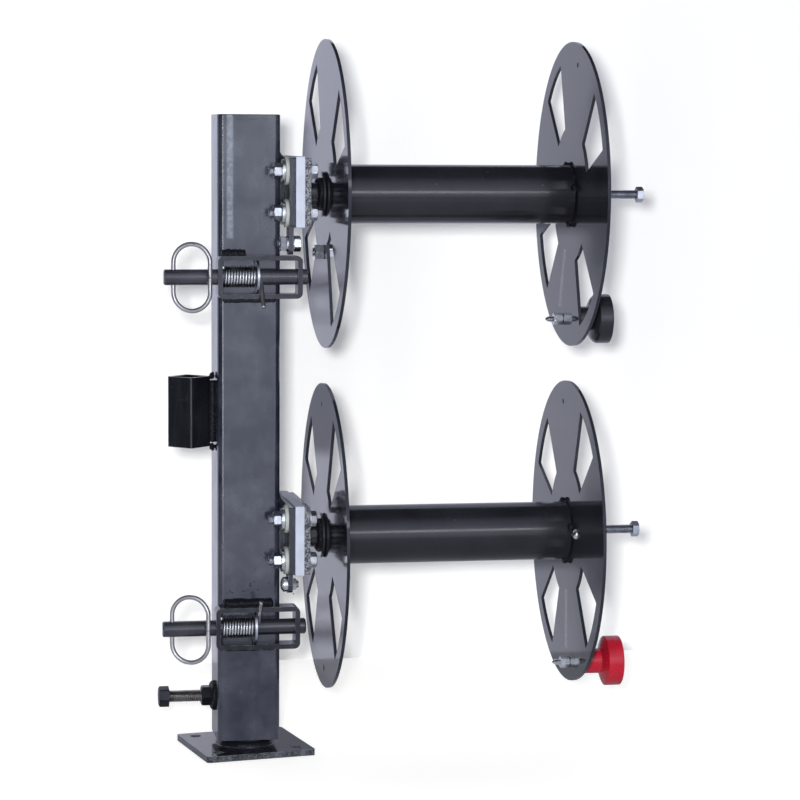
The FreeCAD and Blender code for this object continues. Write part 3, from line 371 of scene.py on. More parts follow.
plastic("insulator", (0.37, 0.40, 0.48), 0.42, height=0.05, speck_colour=(0.36, 0.38, 0.44))
plastic("nylon", (0.29, 0.31, 0.28), 0.40)
metal("bronze", (0.55, 0.40, 0.22), 0.35)
plastic("knob_black", (0.010, 0.010, 0.013), 0.22)
plastic("knob_red", (0.34, 0.008, 0.020), 0.25, level=0.35)

# Nodes whose look differs from the plain finish of their slot
looks = {"mount_plates": "plate_paint", "carrier_plates": "cut_plate",
         "spacer_bars": "plate_paint", "terminal_tabs": "plate_paint",
         "base_plate": "base_paint", "socket_tube": "socket_paint",
         "drum_upper": "drum_paint", "drum_lower": "drum_paint", "spindles": "spindle_paint",
         "left_flange_upper": "left_paint", "left_flange_lower": "left_paint",
         "thrust_collars": "spindle_paint", "stack_welds": "weld_paint",
         "lock_pin_upper": "pin_paint", "lock_pin_lower": "pin_paint",
         "lock_washer_upper": "thread_zinc", "lock_washer_lower": "thread_zinc"}


def dress(obj, material):
    obj.data.materials.clear()
    obj.data.materials.append(material)


def dress_cad_nodes():
    slot_of = {part["node"]: part["material_slot"] for part in frame["record"]["subparts"]}
    for name, node in nodes.items():
        dress(node, materials[looks.get(name, slot_of[name])])


def solids(node):
    """Boxes of the separate solids of a CAD node, as (low, high) corners, lowest first, then
    front first, then left first."""
    mesh = nodes[node].data
    keys = {}
    place = []
    for vertex in mesh.vertices:
        key = tuple(round(c * 1e6) for c in vertex.co)
        place.append(keys.setdefault(key, len(keys)))
    parent = list(range(len(keys)))

    def root(a):
        while parent[a] != a:
            parent[a] = parent[parent[a]]
            a = parent[a]
        return a

    for polygon in mesh.polygons:
        first = root(place[polygon.vertices[0]])
        for v in polygon.vertices[1:]:
            parent[root(place[v])] = first
    boxes = {}
    for vertex in mesh.vertices:
        group = root(place[vertex.index])
        low, high = boxes.setdefault(group, (vertex.co.copy(), vertex.co.copy()))
        for axis in range(3):
            low[axis] = min(low[axis], vertex.co[axis])
            high[axis] = max(high[axis], vertex.co[axis])
    return sorted(boxes.values(), key=lambda b: (round(b[0].z, 3), round(b[0].y, 3), b[0].x))


def middle(box):
    return (box[0] + box[1]) / 2


def span(box):
    """Ends of a box along X and the place of its axis."""
    centre = middle(box)
    return box[0].x, box[1].x, centre.y, centre.z


# Mesh helpers


def link(name, mesh):
    obj = bpy.data.objects.new(name, mesh)
    bpy.context.scene.collection.objects.link(obj)
    return obj


def skin(name, rings, sharp, closed=False):
    """Mesh over rings of equal length; the ends are capped, or the last ring joins the first.
    Edges above the sharp angle in degrees stay hard."""
    mesh = bpy.data.meshes.new(name)
    count = len(rings[0])
    faces = []
    spans = len(rings) if closed else len(rings) - 1
    for i in range(spans):
        a, b = i * count, ((i + 1) % len(rings)) * count
        for j in range(count):
            k = (j + 1) % count
            faces.append((a + j, a + k, b + k, b + j))
    if not closed:
        faces.append(tuple(reversed(range(count))))
        last = (len(rings) - 1) * count
        faces.append(tuple(range(last, last + count)))
    mesh.from_pydata([tuple(p) for ring in rings for p in ring], [], faces)
    work = bmesh.new()
    work.from_mesh(mesh)
    bmesh.ops.recalc_face_normals(work, faces=work.faces)
    work.to_mesh(mesh)
    work.free()
    mesh.polygons.foreach_set("use_smooth", [True] * len(mesh.polygons))
    mesh.set_sharp_from_angle(angle=math.radians(sharp))
    mesh.update()
    return link(name, mesh)


def ring_x(x, y, z, radius, count):
    """Circle about an X axis; radius is a number or a function of the angle."""
    points = []
    for j in range(count):
        a = 2 * math.pi * j / count
        r = radius(a) if callable(radius) else radius
        points.append(Vector((x, y + r * math.cos(a), z + r * math.sin(a))))
    return points


def finished(name, work, smooth):
    """Piece from an edited mesh, which is freed."""
    mesh = bpy.data.meshes.new(name)
    work.to_mesh(mesh)
    work.free()
    if smooth:
        mesh.polygons.foreach_set("use_smooth", [True] * len(mesh.polygons))
    return link(name, mesh)


def join(name, objects):
    """Join several meshes into one piece."""
    work = bmesh.new()
    for obj in objects:
        work.from_mesh(obj.data)
        old = obj.data
        bpy.data.objects.remove(obj)
        bpy.data.meshes.remove(old)
    return finished(name, work, smooth=False)


def put(piece, body, material, slot_name, *replaced):
    """Finish a new piece: its material, body and the CAD nodes it stands for; the record slot it
    is given is not used.
    """
    dress(piece, materials[material])
    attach(piece, body)
    if replaced:
        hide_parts(*replaced)


def hexagon_radius(flats, turn):
    """Radius of a hexagon's outline as a function of the angle."""
    def radius(a):
        step = math.radians(60)
        offset = (a - turn + step / 2) % step - step / 2
        return flats / 2 / math.cos(offset)
    return radius


def hexagon(name, x0, x1, y, z, flats, turn, crowns, bore=0.0, dish=0.0):
    """Hexagon along X with its corners chamfered at x0, x1 or both, and a bore or a solid end.
    The turn is in degrees, with a corner facing +Y or -Y at 0."""
    count = 72
    outline = hexagon_radius(flats, math.radians(turn + 30))
    face_r = 0.47 * flats
    slope = math.tan(math.radians(30))

    def crowned(x, inward):
        ring = []
        for p in ring_x(x, y, z, outline, count):
            r = math.hypot(p.y - y, p.z - z)
            ring.append(Vector((x + inward * (r - face_r) * slope, p.y, p.z)))
        return ring

    rings = []
    for x, inward, crown in ((x0, 1, crowns[0]), (x1, -1, crowns[1])):
        end = []
        if bore:
            inner = ((0.9 * mm, bore), (0.0, bore + 0.6 * mm))
        else:
            inner = ((dish, 0.02 * flats), (dish, 0.80 * face_r))
        for depth, r in inner:
            end.append(ring_x(x + inward * depth, y, z, r, count))
        end.append(ring_x(x, y, z, face_r if crown else 0.9 * face_r, count))
        end.append(crowned(x, inward) if crown else ring_x(x, y, z, outline, count))
        rings.extend(end if inward > 0 else reversed(end))
    return skin(name, rings, closed=bool(bore), sharp=24.0)


def threaded(name, x0, x1, y, z, radius, pitch, tips=(0.8 * mm, 0.8 * mm), plain=0.0,
             point=None):
    """Round shank along X with a helical thread. tips are the chamfer lengths of its ends, plain
    is a bare length at the x1 end, and point is the radius and length of a cone at x0."""
    count = 36
    depth = thread_depth * pitch
    steps = 6
    length = x1 - x0 - plain
    total = max(2, int(steps * length / pitch))

    def limit(x):
        cap = radius
        if tips[0] and not point:
            cap = min(cap, radius - tips[0] + (x - x0))
        if point:
            cap = min(cap, point[0] + (radius - point[0]) * (x - x0) / point[1])
        if tips[1] and not plain:
            cap = min(cap, radius - tips[1] + (x1 - x))
        return cap

    def thread_radius(x):
        def at(a):
            phase = (x / pitch - a / (2 * math.pi)) % 1.0
            height = min(1.0, max(0.0, abs(phase - 0.5) * 2 * 1.15 - 0.08))
            return min(radius - depth * (1 - height), limit(x))
        return at

    rings = [ring_x(x0, y, z, 0.02 * radius, count)]
    for i in range(total + 1):
        x = x0 + length * i / total
        rings.append(ring_x(x, y, z, thread_radius(x), count))
    if plain:
        rings.append(ring_x(x1 - plain + 0.4 * mm, y, z, radius, count))
        rings.append(ring_x(x1, y, z, radius, count))
    rings.append(ring_x(x1, y, z, 0.02 * radius, count))
    return skin(name, rings, sharp=60.0)


def washer(name, box, bore):
    """Flat washer along X with its outer edges rolled over, as stamping leaves them."""
    x0, x1, y, z = span(box)
    radius = (box[1].z - box[0].z) / 2
    e = min(0.4 * mm, 0.35 * (x1 - x0))
    profile = ((x0, bore), (x0, radius - 1.6 * e), (x0 + 0.4 * e, radius - 0.4 * e),
               (x0 + 1.2 * e, radius), (x1 - 0.3 * e, radius), (x1, radius - 0.3 * e), (x1, bore))
    return skin(name, [ring_x(x, y, z, r, 64) for x, r in profile], closed=True, sharp=40.0)


def toothed_washer(name, box, bore):
    """Lock washer along X with twisted teeth on its outer edge."""
    x0, x1, y, z = span(box)
    radius = (box[1].z - box[0].z) / 2
    teeth, per_tooth = 14, 10
    count = teeth * per_tooth
    centre, half = (x0 + x1) / 2, (x1 - x0) / 2
    root = 0.80 * radius

    def ring(side, place):
        points = []
        for j in range(count):
            a = 2 * math.pi * j / count
            wave = math.sin(teeth * a)
            tooth = min(1.0, max(0.0, 0.5 + 1.6 * wave))
            r = (bore, root, root + (radius - root) * tooth)[place]
            twist = 0.55 * half * math.cos(teeth * a + 0.6) * (0.0, 0.25, 1.0)[place]
            x = centre + 0.42 * half * side + twist
            points.append(Vector((x, y + r * math.cos(a), z + r * math.sin(a))))
        return points

    rings = [ring(-1, 0), ring(-1, 1), ring(-1, 2), ring(1, 2), ring(1, 1), ring(1, 0)]
    return skin(name, rings, closed=True, sharp=30.0)


def lathe(name, profile, y, z):
    """Solid of revolution about an X axis from (x, radius) points."""
    rings = [ring_x(x, y, z, max(r, 0.02 * mm), 48) for x, r in profile]
    return skin(name, rings, sharp=35.0)


def tube(name, path, radius, sides, sharp=80.0):
    """Round wire along a path of points, with a steady frame carried from ring to ring. The
    radius is a number or a function of the share of the path."""
    rings = []
    up = None
    last = len(path) - 1
    for i, p in enumerate(path):
        tangent = (path[min(i + 1, last)] - path[max(i - 1, 0)]).normalized()
        if up is None:
            up = tangent.orthogonal().normalized()
        up = (up - tangent * up.dot(tangent)).normalized()
        side = tangent.cross(up)
        r = radius(i / last) if callable(radius) else radius
        rings.append([p + up * r * math.cos(2 * math.pi * j / sides)
                      + side * r * math.sin(2 * math.pi * j / sides) for j in range(sides)])
    return skin(name, rings, sharp=sharp)


def line(a, b, step):
    """Points from a to b, about one step apart."""
    count = max(2, int((b - a).length / step) + 1)
    return [a.lerp(b, i / (count - 1)) for i in range(count)]


def outward_x(lean, count):
    """Direction that the crown of a ring of weld about an X axis faces, as a function of the
    share of the ring; the lean is its part along X."""
    def out(t):
        a = 2 * math.pi * t * (count - 1) / count
        return Vector((lean, math.cos(a), math.sin(a)))
    return out


def weld_bead(name, path, out, half_width, height, ripple, sink, closed=False, rough=0.18,
              seed=0):
    """Weld bead along a path: a low mound with overlapping ripples. out(t) is the direction that
    the bead's crown faces at each share t of the path, and sink is its depth below the path."""
    sides = 18
    rings = []
    travelled = 0.0
    count = len(path)
    for i, p in enumerate(path):
        ahead = path[(i + 1) % count] if closed or i < count - 1 else p
        behind = path[i - 1] if closed or i > 0 else p
        tangent = (ahead - behind).normalized()
        normal = out(i / max(1, count - 1)).normalized()
        side = tangent.cross(normal).normalized()
        if i:
            travelled += (p - path[i - 1]).length
        end = 1.0
        if not closed:
            near = min(i, count - 1 - i) / max(1, count - 1)
            end = math.sqrt(min(1.0, near / 0.04 + 0.05))
        wander = noise.noise(Vector((travelled * 160 + seed, 3.7, seed)))
        ring = []
        for j in range(sides):
            a = 2 * math.pi * j / sides
            c, s = math.cos(a), math.sin(a)
            curl = 0.5 * (1 - abs(c)) * ripple
            mound = abs(math.sin(math.pi * (travelled + curl) / ripple))
            grain = noise.noise(Vector((p.x * 420 + c, p.y * 420 + s, p.z * 420 + seed)))
            swell = 1 + rough * (0.55 * mound - 0.2 + 0.6 * grain + 0.7 * wander)
            w = half_width * swell * end
            h = height * swell * end if s > 0 else sink
            ring.append(p + side * w * c + normal * h * s)
        rings.append(ring)
    return skin(name, rings, closed=closed, sharp=70.0)


def lumps(name, places, radii, rough, seed):
    """Rough blobs of weld at the given places, joined into one piece."""
    work = bmesh.new()
    for index, place in enumerate(places):
        made = bmesh.ops.create_icosphere(work, subdivisions=4, radius=1.0)
        for v in made["verts"]:
            d = v.co.copy()
            bend = noise.noise(d * 1.3 + Vector((seed, index * 5.1, 0)))
            grain = noise.noise(d * 4.0 + Vector((seed, index * 3.3, 7)))
            size = 1 + rough * (bend + 0.45 * grain)
            v.co = place + Vector((d.x * radii[0], d.y * radii[1], d.z * radii[2])) * size
    return finished(name, work, smooth=True)


def spatter(name, centre, across, along, normal, count, radius, seed):
    """Small weld droplets on a flat face, thinning out with distance."""
    picker = random.Random(seed)
    work = bmesh.new()
    for _ in range(count):
        offset = across * picker.gauss(0, 0.42) + along * abs(picker.gauss(0, 0.42))
        r = radius * picker.uniform(0.35, 1.0)
        spot = Matrix.Translation(centre + offset)
        made = bmesh.ops.create_icosphere(work, subdivisions=2, radius=r, matrix=spot)
        for v in made["verts"]:
            d = v.co - (centre + offset)
            v.co -= normal * d.dot(normal) * 0.45
    return finished(name, work, smooth=True)


# Fasteners


def bolt(name, box, size, pitch, turn, body, node, plain=0.0, point=None, material="zinc"):
    """Hexagon bolt with its head at the right end of the box and its shank to the left."""
    x0, x1, y, z = span(box)
    flats, thick, radius = size
    head = hexagon("head", x1 - thick, x1, y, z, flats, turn, (False, True), dish=0.25 * mm)
    shank = threaded("shank", x0, x1 - thick + 0.5 * mm, y, z, radius, pitch, plain=plain,
                     point=point)
    put(join(name, [head, shank]), body, material, "zinc", node)


def nut(name, box, size, turn, body, node):
    piece = hexagon(name, *span(box), size[0], turn, (True, True), bore=size[2] + nut_play)
    put(piece, body, "zinc", "zinc", node)


def clamp_fasteners():
    """Clamp bolts, nuts and washers of both stacks; the toothed washers are the narrow ones."""
    bolts = solids("clamp_bolts")
    nuts = solids("clamp_nuts")
    for k in range(8):
        which, place = ("lower", "upper")[k // 4], k % 4
        bolt("clamp_bolt_%d" % (k + 1), bolts[k], clamp_size, coarse_pitch,
             clamp_head_turns[which][place], "post", "clamp_bolts", plain=20 * mm)
        nut("clamp_nut_%d" % (k + 1), nuts[k], clamp_size, clamp_nut_turns[which][place], "post",
            "clamp_nuts")
    bore = clamp_size[2] + washer_play
    narrow = 20 * mm
    toothed = [b for b in solids("clamp_washers") if b[1].z - b[0].z < narrow]
    flat = [b for b in solids("clamp_washers") if b[1].z - b[0].z >= narrow]
    for kind, boxes, make in (("lock", toothed, toothed_washer), ("flat", flat, washer)):
        for k, box in enumerate(boxes):
            piece = make("clamp_%s_washer_%d" % (kind, k + 1), box, bore)
            put(piece, "post", "zinc", "zinc", "clamp_washers")


def stack_of_nuts(node, body, size, turns, toothed=()):
    """Nuts and washers of a node, counted from the left: turns maps the place of each nut to its
    turn, and toothed has the places of the toothed washers; the rest are flat."""
    for k, box in enumerate(sorted(solids(node), key=lambda b: b[0].x)):
        name = "%s_%d" % (node, k + 1)
        if k in turns:
            nut(name, box, size, turns[k], body, node)
            continue
        make = toothed_washer if k in toothed else washer
        put(make(name, box, size[2] + washer_play), body, "zinc", "zinc", node)


def set_bolt():
    """Set bolt as a head and a thread, and its nut with a ring of weld."""
    x0, x1, y, z = span(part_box("set_bolt"))
    flats, thick, radius = set_bolt_size
    head = hexagon("set_bolt_head", x0, x0 + thick, y, z, flats, 12, (True, False),
                   dish=0.3 * mm)
    shank = threaded("set_bolt_thread", x0 + thick - 0.5 * mm, x1, y, z, radius,
                     set_bolt_pitch, tips=(0.0, 1.2 * mm))
    put(head, "set_bolt", "black_bolt", "zinc", "set_bolt")
    put(shank, "set_bolt", "oiled_thread", "zinc", "set_bolt")

    x0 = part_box("set_bolt_nut")[0].x
    body = hexagon("nut", x0, -post_half, y, z, flats, 0, (True, False),
                   bore=radius + 2 * nut_play)
    count = 150
    path = ring_x(-post_half - 1.4 * mm, y, z, nut_weld_radius, count)
    bead = weld_bead("bead", path, outward_x(-1.1, count), 3.6 * mm, 3.0 * mm, closed=True,
                     sink=1.2 * mm, ripple=2.2 * mm, rough=0.25, seed=4)
    put(join("set_nut_welded", [body, bead]), "post", "weld_paint", "post_paint", "set_bolt_nut")


def spool_fasteners(which):
    """Winding bolt on the axis, and the knob's bolt with its nut and washers."""
    body = which + "_spool"
    node = "winding_bolt_" + which
    bolt("winding_bolt_threaded_" + which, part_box(node), winding_size, coarse_pitch, 30, body,
         node, material="thread_zinc")
    stack_of_nuts("winding_nuts_" + which, body, winding_size, {0: 0, 1: 0})
    node = "knob_bolt_" + which
    bolt("knob_bolt_threaded_" + which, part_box(node), knob_size, small_pitch, 0, body, node,
         point=(1.0 * mm, 3.5 * mm))
    stack_of_nuts("knob_nut_" + which, body, knob_size, {0: 20}, toothed=(1,))


def lug_fasteners():
    """Lug bolt of the upper spool with its washer, spacer and nut."""
    node = "lug_bolt_upper"
    bolt("lug_bolt_threaded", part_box(node), lug_size, coarse_pitch, 37, "upper_spool", node)
    stack_of_nuts("lug_nuts_upper", "upper_spool", lug_size, {0: 0, 1: 0})


def terminal_fasteners():
    """Hexagon bolt under the upper stack and pan-headed screw under the lower one."""
    lower, upper = solids("terminal_bolts")
    bolt("terminal_bolt_upper", upper, terminal_size, small_pitch, 22, "post", "terminal_bolts")
    x0, x1, y, z = span(lower)
    dome = ((0.0, 0.0), (0.12, 2.4), (0.5, 4.3), (1.1, 5.6), (1.8, 6.1), (2.4, 6.1), (2.4, 0.0))
    head = lathe("head", [(x0 + x * mm, r * mm) for x, r in dome], y, z)
    shank = threaded("shank", x0 + 2.0 * mm, x1, y, z, terminal_size[2], small_pitch,
                     tips=(0.0, 0.8 * mm))
    put(join("terminal_screw_lower", [head, shank]), "post", "zinc", "zinc", "terminal_bolts")
    for which, box in zip(("lower", "upper"), solids("terminal_nuts")):
        nut("terminal_nut_" + which, box, (terminal_nut_flats[which], 0.0, terminal_size[2]), 0,
            "post", "terminal_nuts")
    thin = 1.4 * mm
    for k, box in enumerate(solids("terminal_washers")):
        make = toothed_washer if box[1].x - box[0].x < thin else washer
        piece = make("terminal_washer_%d" % (k + 1), box, terminal_size[2] + washer_play)
        put(piece, "post", "zinc", "zinc", "terminal_washers")


# Springs, rings and rods


def lock_spring(which):
    """Coil spring on the pin, between the post and the lock's slide."""
    low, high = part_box("lock_spring_" + which)
    centre = middle((low, high))
    coil = (high.z - low.z) / 2 - spring_wire
    start, end = low.x + spring_wire, high.x - spring_wire
    total = 40 * spring_turns
    path = []
    for i in range(total + 1):
        t = i / total
        a = 2 * math.pi * spring_turns * t
        x = start + (end - start) * t
        path.append(Vector((x, centre.y + coil * math.sin(a), centre.z + coil * math.cos(a))))
    piece = tube("spring_wound_" + which, path, spring_wire, sides=14)
    dress(piece, materials["spring_steel"])
    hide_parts("lock_spring_" + which)
    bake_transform(piece)


def pull_ring(which):
    """Long oval ring of wire bent by hand: not quite even, with a butt joint on its far side."""
    centre = middle(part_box("pull_ring_" + which))
    across = Vector((math.cos(ring_turn), math.sin(ring_turn), 0.0))
    half_width = ring_width / 2
    straight = ring_height / 2 - half_width
    gap = 0.6 * mm
    outline = []
    for side in (1, -1):
        for i in range(41):
            a = math.pi * i / 40
            outline.append((half_width * math.cos(a) * side,
                            side * (straight + half_width * math.sin(a))))
        for i in range(1, 16):
            outline.append((-side * half_width, side * straight * (1 - 2 * i / 16)))
    start = len(outline) - 8
    outline = outline[start:] + outline[:start]
    path = []
    for u, v in outline:
        free = min(1.0, (u + half_width) / ring_width)
        bend = 0.35 * mm * free * noise.noise(Vector((u * 60, v * 60, 2.0)))
        path.append(centre + across * (u - abs(bend)) + Vector((0, 0, v * (1 - 0.004 * free))))
    path[0] = path[0].lerp(path[1], 0.1)
    path[-1] = path[-1].lerp(path[0], 1 - min(0.9, gap / (path[-1] - path[0]).length))
    piece = tube("pull_ring_wire_" + which, path, ring_wire, sides=20)
    put(piece, which + "_pull_ring", "ring_steel", "spring_steel", "pull_ring_" + which)


def cross_rod(which):
    """Short rod through the pin, cut off roughly at both ends."""
    points = [v.co for v in nodes["cross_rod_" + which].data.vertices]
    centre = sum(points, Vector()) / len(points)
    far = max(points, key=lambda p: (p - centre).length)
    near = max(points, key=lambda p: (p - far).length)
    ends = []
    for tip in (far, near):
        close = [p for p in points if (p - tip).length < 6 * mm]
        ends.append(sum(close, Vector()) / len(close))
    axis = (ends[1] - ends[0]).normalized()
    reach = [p.dot(axis) for p in points]
    line_point = ends[0] - axis * ends[0].dot(axis)
    a, b = line_point + axis * min(reach), line_point + axis * max(reach)
    path = line(a, b, 0.7 * mm)
    length = (b - a).length

    def radius(t):
        near_end = min(t, 1 - t) * length
        return rod_radius * (0.72 + 0.28 * min(1.0, near_end / (0.7 * mm)))

    piece = tube("cross_rod_cut_" + which, path, radius, sides=24, sharp=35.0)
    put(piece, which + "_lock_pin", "ring_steel", "spring_steel", "cross_rod_" + which)


# Welds


def base_weld():
    """Ring of weld where the stub pipe meets the floor plate."""
    centre_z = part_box("base_plate")[1].z + 1.6 * mm
    count = 240
    path = []
    for i in range(count):
        a = 2 * math.pi * i / count
        path.append(Vector((base_weld_radius * math.cos(a), base_weld_radius * math.sin(a),
                            centre_z)))

    def out(t):
        a = 2 * math.pi * t * (count - 1) / count
        return Vector((math.cos(a), math.sin(a), 1.0))

    bead = weld_bead("base_weld_ring", path, out, 4.6 * mm, 3.0 * mm, closed=True, sink=3.5 * mm,
                     ripple=2.4 * mm)
    put(bead, "base", "weld_paint", "post_paint")


def bracket_welds():
    """Bead on top of each bracket, low seam under it, and droplets above the lower one."""
    beads, seams = [], []
    for which, (x0, x1) in bracket_weld.items():
        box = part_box("lock_bracket_" + which)
        corner = Vector((0, -post_half, box[1].z))
        inset = 2.6 * mm
        path = line(corner + Vector((x0 + inset, 0, 0)), corner + Vector((x1 - inset, 0, 0)),
                    0.35 * mm)
        out = Vector((0, -1, 1)).normalized()
        path = [p + out * 1.6 * mm for p in path]
        beads.append(weld_bead("bead", path, lambda t: out, 4.8 * mm, 4.3 * mm, sink=2.2 * mm,
                               ripple=2.3 * mm, rough=0.30, seed=9 if which == "upper" else 5))
        seam = Vector((0, -post_half, box[0].z - 2.2 * mm))
        half = Vector((seam_half, 0, 0))
        front = Vector((0, -1, 0))
        path = line(seam - half, seam + half, 0.5 * mm)
        seams.append(weld_bead("seam", path, lambda t: front, 2.7 * mm, 1.5 * mm, sink=0.9 * mm,
                               ripple=3.1 * mm, rough=0.25, seed=3 if which == "upper" else 8))
    put(join("bracket_weld_beads", beads), "post", "weld_paint", "lock_paint", "lock_welds")
    put(join("bracket_seams", seams), "post", "weld_paint", "lock_paint")
    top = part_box("lock_bracket_lower")[1].z
    drops = spatter("weld_droplets", centre=Vector((-2 * mm, -post_half, top + 9 * mm)),
                    across=Vector((34 * mm, 0, 0)), along=Vector((0, 0, 30 * mm)),
                    normal=Vector((0, -1, 0)), count=34, radius=0.75 * mm, seed=11)
    put(drops, "post", "weld_paint", "post_paint")


def socket_welds():
    """Upright beads beside the socket tube, and a lump at each end of the front one."""
    low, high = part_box("socket_weld")
    inset = 4.2 * mm
    x = socket_weld_x
    beads = []
    for side in (-1, 1):
        y = side * socket_weld_y
        path = line(Vector((x, y, low.z + inset)), Vector((x, y, high.z - inset)), 0.4 * mm)
        out = Vector((0, side, 0))
        beads.append(weld_bead("bead", path, lambda t, out=out: out, 4.4 * mm, 4.0 * mm,
                               sink=2.5 * mm, ripple=2.1 * mm, rough=0.28, seed=side + 3))
    put(join("socket_weld_beads", beads), "post", "weld_paint", "post_paint", "socket_weld")
    ends = [Vector((x - 0.6 * mm, -3.0 * mm, z)) for z in (low.z - 0.5 * mm, high.z + 0.5 * mm)]
    put(lumps("socket_weld_ends", ends, (2.6 * mm, 2.8 * mm, 3.6 * mm), 0.35, 4), "post",
        "weld_paint", "post_paint")


def thrust_welds():
    """Ragged ring of weld that holds each thrust collar to its spindle."""
    for k, box in enumerate(solids("thrust_collars")):
        centre = middle(box)
        count = 150
        path = ring_x(box[0].x + 1.0 * mm, centre.y, centre.z, thrust_weld_radius, count)
        bead = weld_bead("thrust_weld_%d" % (k + 1), path, outward_x(-1.4, count), 3.3 * mm,
                         2.6 * mm, closed=True, sink=1.5 * mm, ripple=2.6 * mm, rough=0.45,
                         seed=2 + k)
        put(bead, "post", "weld_paint", "spool_paint")


def drum_tacks(which):
    """Lumps of weld between the right end of the drum and its flange."""
    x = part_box("right_flange_" + which)[0].x - 2.6 * mm
    z = middle(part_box("drum_" + which)).z
    places = [Vector((x, -tack_radius * math.sin(a), z + tack_radius * math.cos(a)))
              for a in tack_angles]
    piece = lumps("drum_tacks_" + which, places, (3.4 * mm, 3.9 * mm, 3.9 * mm), 0.32,
                  1.5 if which == "upper" else 8.2)
    put(piece, which + "_spool", "weld_paint", "spool_paint")


def build_object():
    dress_cad_nodes()
    clamp_fasteners()
    set_bolt()
    lug_fasteners()
    terminal_fasteners()
    for which in spools:
        spool_fasteners(which)
        lock_spring(which)
        pull_ring(which)
        cross_rod(which)
        drum_tacks(which)
    base_weld()
    bracket_welds()
    socket_welds()
    thrust_welds()


# Stage: floor, screen, light and camera

# Floor and screen: half width, place and height of the screen, and the gap under the object
stage_half = 1.7
screen_y = 0.47
screen_top = 1.0
floor_z = -0.2 * mm

# Share of the stage's glow that gloss sees, and the height up to which the glow changes
gloss_share = 0.2
glow_height = 0.40

# Light from the front by height, as (place, level), its tint, and its middle and spread in
# azimuth; light from elsewhere
front_levels = ((0.0, 0.5), (0.375, 0.5), (0.40, 0.6), (0.425, 0.85), (0.45, 1.05), (0.50, 1.3),
                (0.55, 1.4), (0.65, 1.25), (0.75, 1.0), (0.85, 0.7), (0.91, 0.45), (0.965, 0.1),
                (1.0, 0.05))
front_tint = (1.0, 1.06, 1.26)
front_azimuth = math.radians(5.0)
front_spread = (math.radians(25.0), math.radians(35.0))
dim_light = (0.055, 0.058, 0.068)

# Lamps: place, aim, width, height, power and whether gloss shows them; the shadow lamp stands
# beside the camera, so far to the right and up
lamps = {"edge_strip": ((-0.73, -2.39, 0.40), (0.0, 0.0, 0.40), 0.16, 1.3, 9.0, True),
         "strip": ((0.72, -2.8, 1.00), (0.20, 0.0, 0.40), 0.55, 0.24, 3.0, True),
         "top": ((0.3, 0.0, 2.6), (0.15, 0.0, 0.35), 1.6, 1.6, 3.0, False)}
shadow_lamp_side = (-62 * mm, 50 * mm)
shadow_lamp = (0.09, 0.09, 88.0, False)


def direct_rays(tree, path):
    """1 for rays that come straight or through clear material from the camera."""
    return compute(tree, "MAXIMUM", path.outputs["Is Camera Ray"],
                   path.outputs["Is Transmission Ray"])


def stage_white(name, colour, gloss_colour, glow, low_glow, see_through):
    """White that keeps shadows; glow is what the camera and gloss see on top of the light that
    falls on it, and low glow the same near the floor. Gloss sees its own colour. A see-through
    sheet lets rays pass from behind."""
    tree = blank_material(name)
    path = add(tree, "ShaderNodeLightPath")
    dim = multiply(tree, path.outputs["Is Glossy Ray"], gloss_share)
    seen = compute(tree, "MAXIMUM", direct_rays(tree, path), dim)
    seen_colour = mix_colours(tree, path.outputs["Is Glossy Ray"], colour, gloss_colour)
    place = add(tree, "ShaderNodeNewGeometry").outputs["Position"]
    height = add(tree, "ShaderNodeSeparateXYZ", {0: place}).outputs["Z"]
    level = remap(tree, height, 0.0, glow_height, low_glow, glow)
    shader = add(tree, "ShaderNodeBsdfPrincipled", {
        "Base Color": seen_colour, "Roughness": 0.9, "Specular IOR Level": 0.0,
        "Emission Color": (*colour, 1.0),
        "Emission Strength": multiply(tree, seen, level)})
    surface = shader.outputs[0]
    if see_through:
        clear = add(tree, "ShaderNodeBsdfTransparent")
        back = add(tree, "ShaderNodeNewGeometry").outputs["Backfacing"]
        surface = add(tree, "ShaderNodeMixShader",
                      {0: back, 1: surface, 2: clear.outputs[0]}).outputs[0]
    add(tree, "ShaderNodeOutputMaterial", {0: surface})
    return materials[name]


def sheet(name, corners, material):
    mesh = bpy.data.meshes.new(name)
    mesh.from_pydata(corners, [], [(0, 1, 2, 3)])
    mesh.materials.append(material)
    link(name, mesh)


def floor_and_screen():
    half, low = stage_half, floor_z
    white = stage_white("floor_white", (0.72, 0.715, 0.70), (0.48, 0.49, 0.58), glow=0.80,
                        low_glow=0.80, see_through=False)
    sheet("floor", [(-half, -half, low), (half, -half, low), (half, half, low),
                    (-half, half, low)], white)
    white = stage_white("screen_white", (0.70, 0.695, 0.68), (0.58, 0.59, 0.69), glow=0.12,
                        low_glow=0.36, see_through=True)
    sheet("screen", [(-half, screen_y, low), (half, screen_y, low),
                     (half, screen_y, screen_top), (-half, screen_y, screen_top)], white)


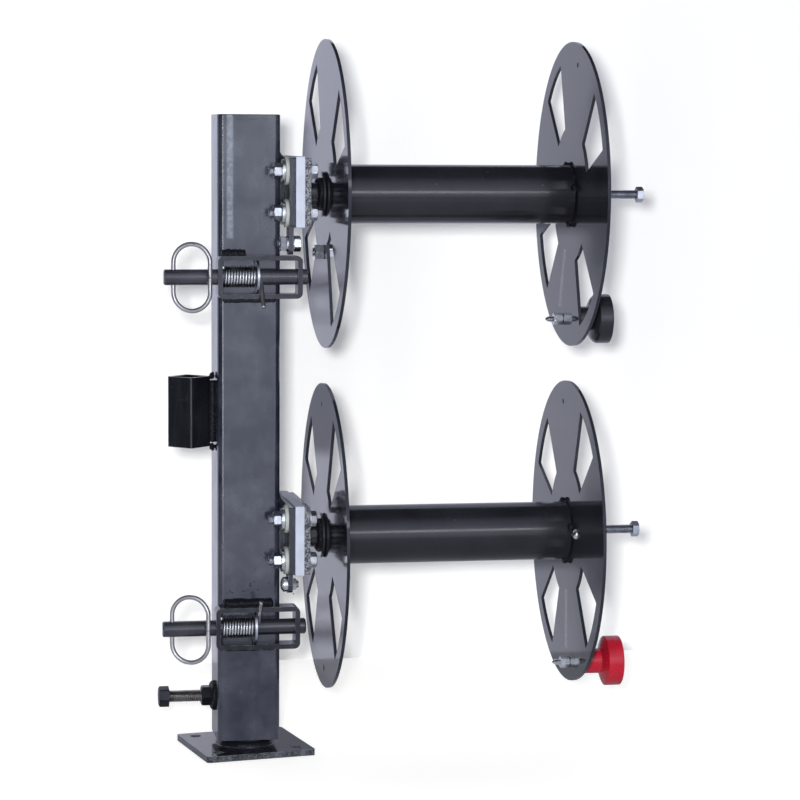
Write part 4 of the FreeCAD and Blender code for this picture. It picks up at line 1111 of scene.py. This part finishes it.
def sky():
    """A bright band low in front that gloss picks up, and dim elsewhere."""
    world = bpy.data.worlds.new("studio")
    bpy.context.scene.world = world
    world.use_nodes = True
    tree = world.node_tree
    tree.nodes.clear()
    direction = add(tree, "ShaderNodeTexCoord").outputs["Generated"]
    parts = add(tree, "ShaderNodeSeparateXYZ", {0: direction})
    height = remap(tree, parts.outputs["Z"], -1.0, 1.0, 0.0, 1.0)
    front = ramp(tree, height, [(place, tuple(part * level for part in front_tint))
                                for place, level in front_levels])
    ahead = multiply(tree, parts.outputs["Y"], -1.0)
    azimuth = compute(tree, "ARCTAN2", parts.outputs["X"], ahead)
    off = compute(tree, "ABSOLUTE", compute(tree, "SUBTRACT", azimuth, front_azimuth))
    facing = remap(tree, off, front_spread[0], front_spread[1], 1.0, 0.0)
    colour = mix_colours(tree, facing, dim_light, front)
    path = add(tree, "ShaderNodeLightPath")
    plain = add(tree, "ShaderNodeBackground", {"Color": (1.0, 1.0, 1.0, 1.0), "Strength": 1.0})
    around = add(tree, "ShaderNodeBackground", {"Color": colour, "Strength": 1.0})
    switch = add(tree, "ShaderNodeMixShader", {0: direct_rays(tree, path),
                                               1: around.outputs[0], 2: plain.outputs[0]})
    add(tree, "ShaderNodeOutputWorld", {0: switch.outputs[0]})


def lamp(name, place, aim, width, height, power, glossy):
    data = bpy.data.lights.new(name, "AREA")
    data.shape = "RECTANGLE"
    data.size, data.size_y = width, height
    data.energy = power
    obj = bpy.data.objects.new(name, data)
    obj.location = place
    obj.rotation_mode = "QUATERNION"
    obj.rotation_quaternion = (Vector(aim) - Vector(place)).to_track_quat("-Z", "Y")
    obj.visible_camera = False
    obj.visible_glossy = glossy
    bpy.context.scene.collection.objects.link(obj)


def camera_axes():
    cos_pitch = math.cos(camera_pitch)
    ahead = Vector((math.sin(camera_yaw) * cos_pitch, math.cos(camera_yaw) * cos_pitch,
                    math.sin(camera_pitch)))
    right = Vector((math.cos(camera_yaw), -math.sin(camera_yaw), 0.0))
    return ahead, right, right.cross(ahead)


def camera():
    ahead, right, up = camera_axes()
    rolled_right = right * math.cos(camera_roll) + up * math.sin(camera_roll)
    rolled_up = up * math.cos(camera_roll) - right * math.sin(camera_roll)
    data = bpy.data.cameras.new("camera")
    data.sensor_width = sensor_width
    data.lens = focal_share * sensor_width
    data.clip_start, data.clip_end = clip_range
    obj = bpy.data.objects.new("camera", data)
    axes = Matrix((rolled_right, rolled_up, -ahead)).transposed()
    obj.matrix_world = Matrix.Translation(look_at - ahead * camera_distance) @ axes.to_4x4()
    bpy.context.scene.collection.objects.link(obj)
    bpy.context.scene.camera = obj


def build_stage():
    floor_and_screen()
    sky()
    ahead, right, up = camera_axes()
    beside = (look_at - ahead * camera_distance + right * shadow_lamp_side[0]
              + up * shadow_lamp_side[1])
    lamp("shadow_lamp", beside, look_at, *shadow_lamp)
    for name, settings in lamps.items():
        lamp(name, *settings)
    camera()
    bpy.context.scene.view_settings.view_transform = "Standard"


build_object()
build_stage()
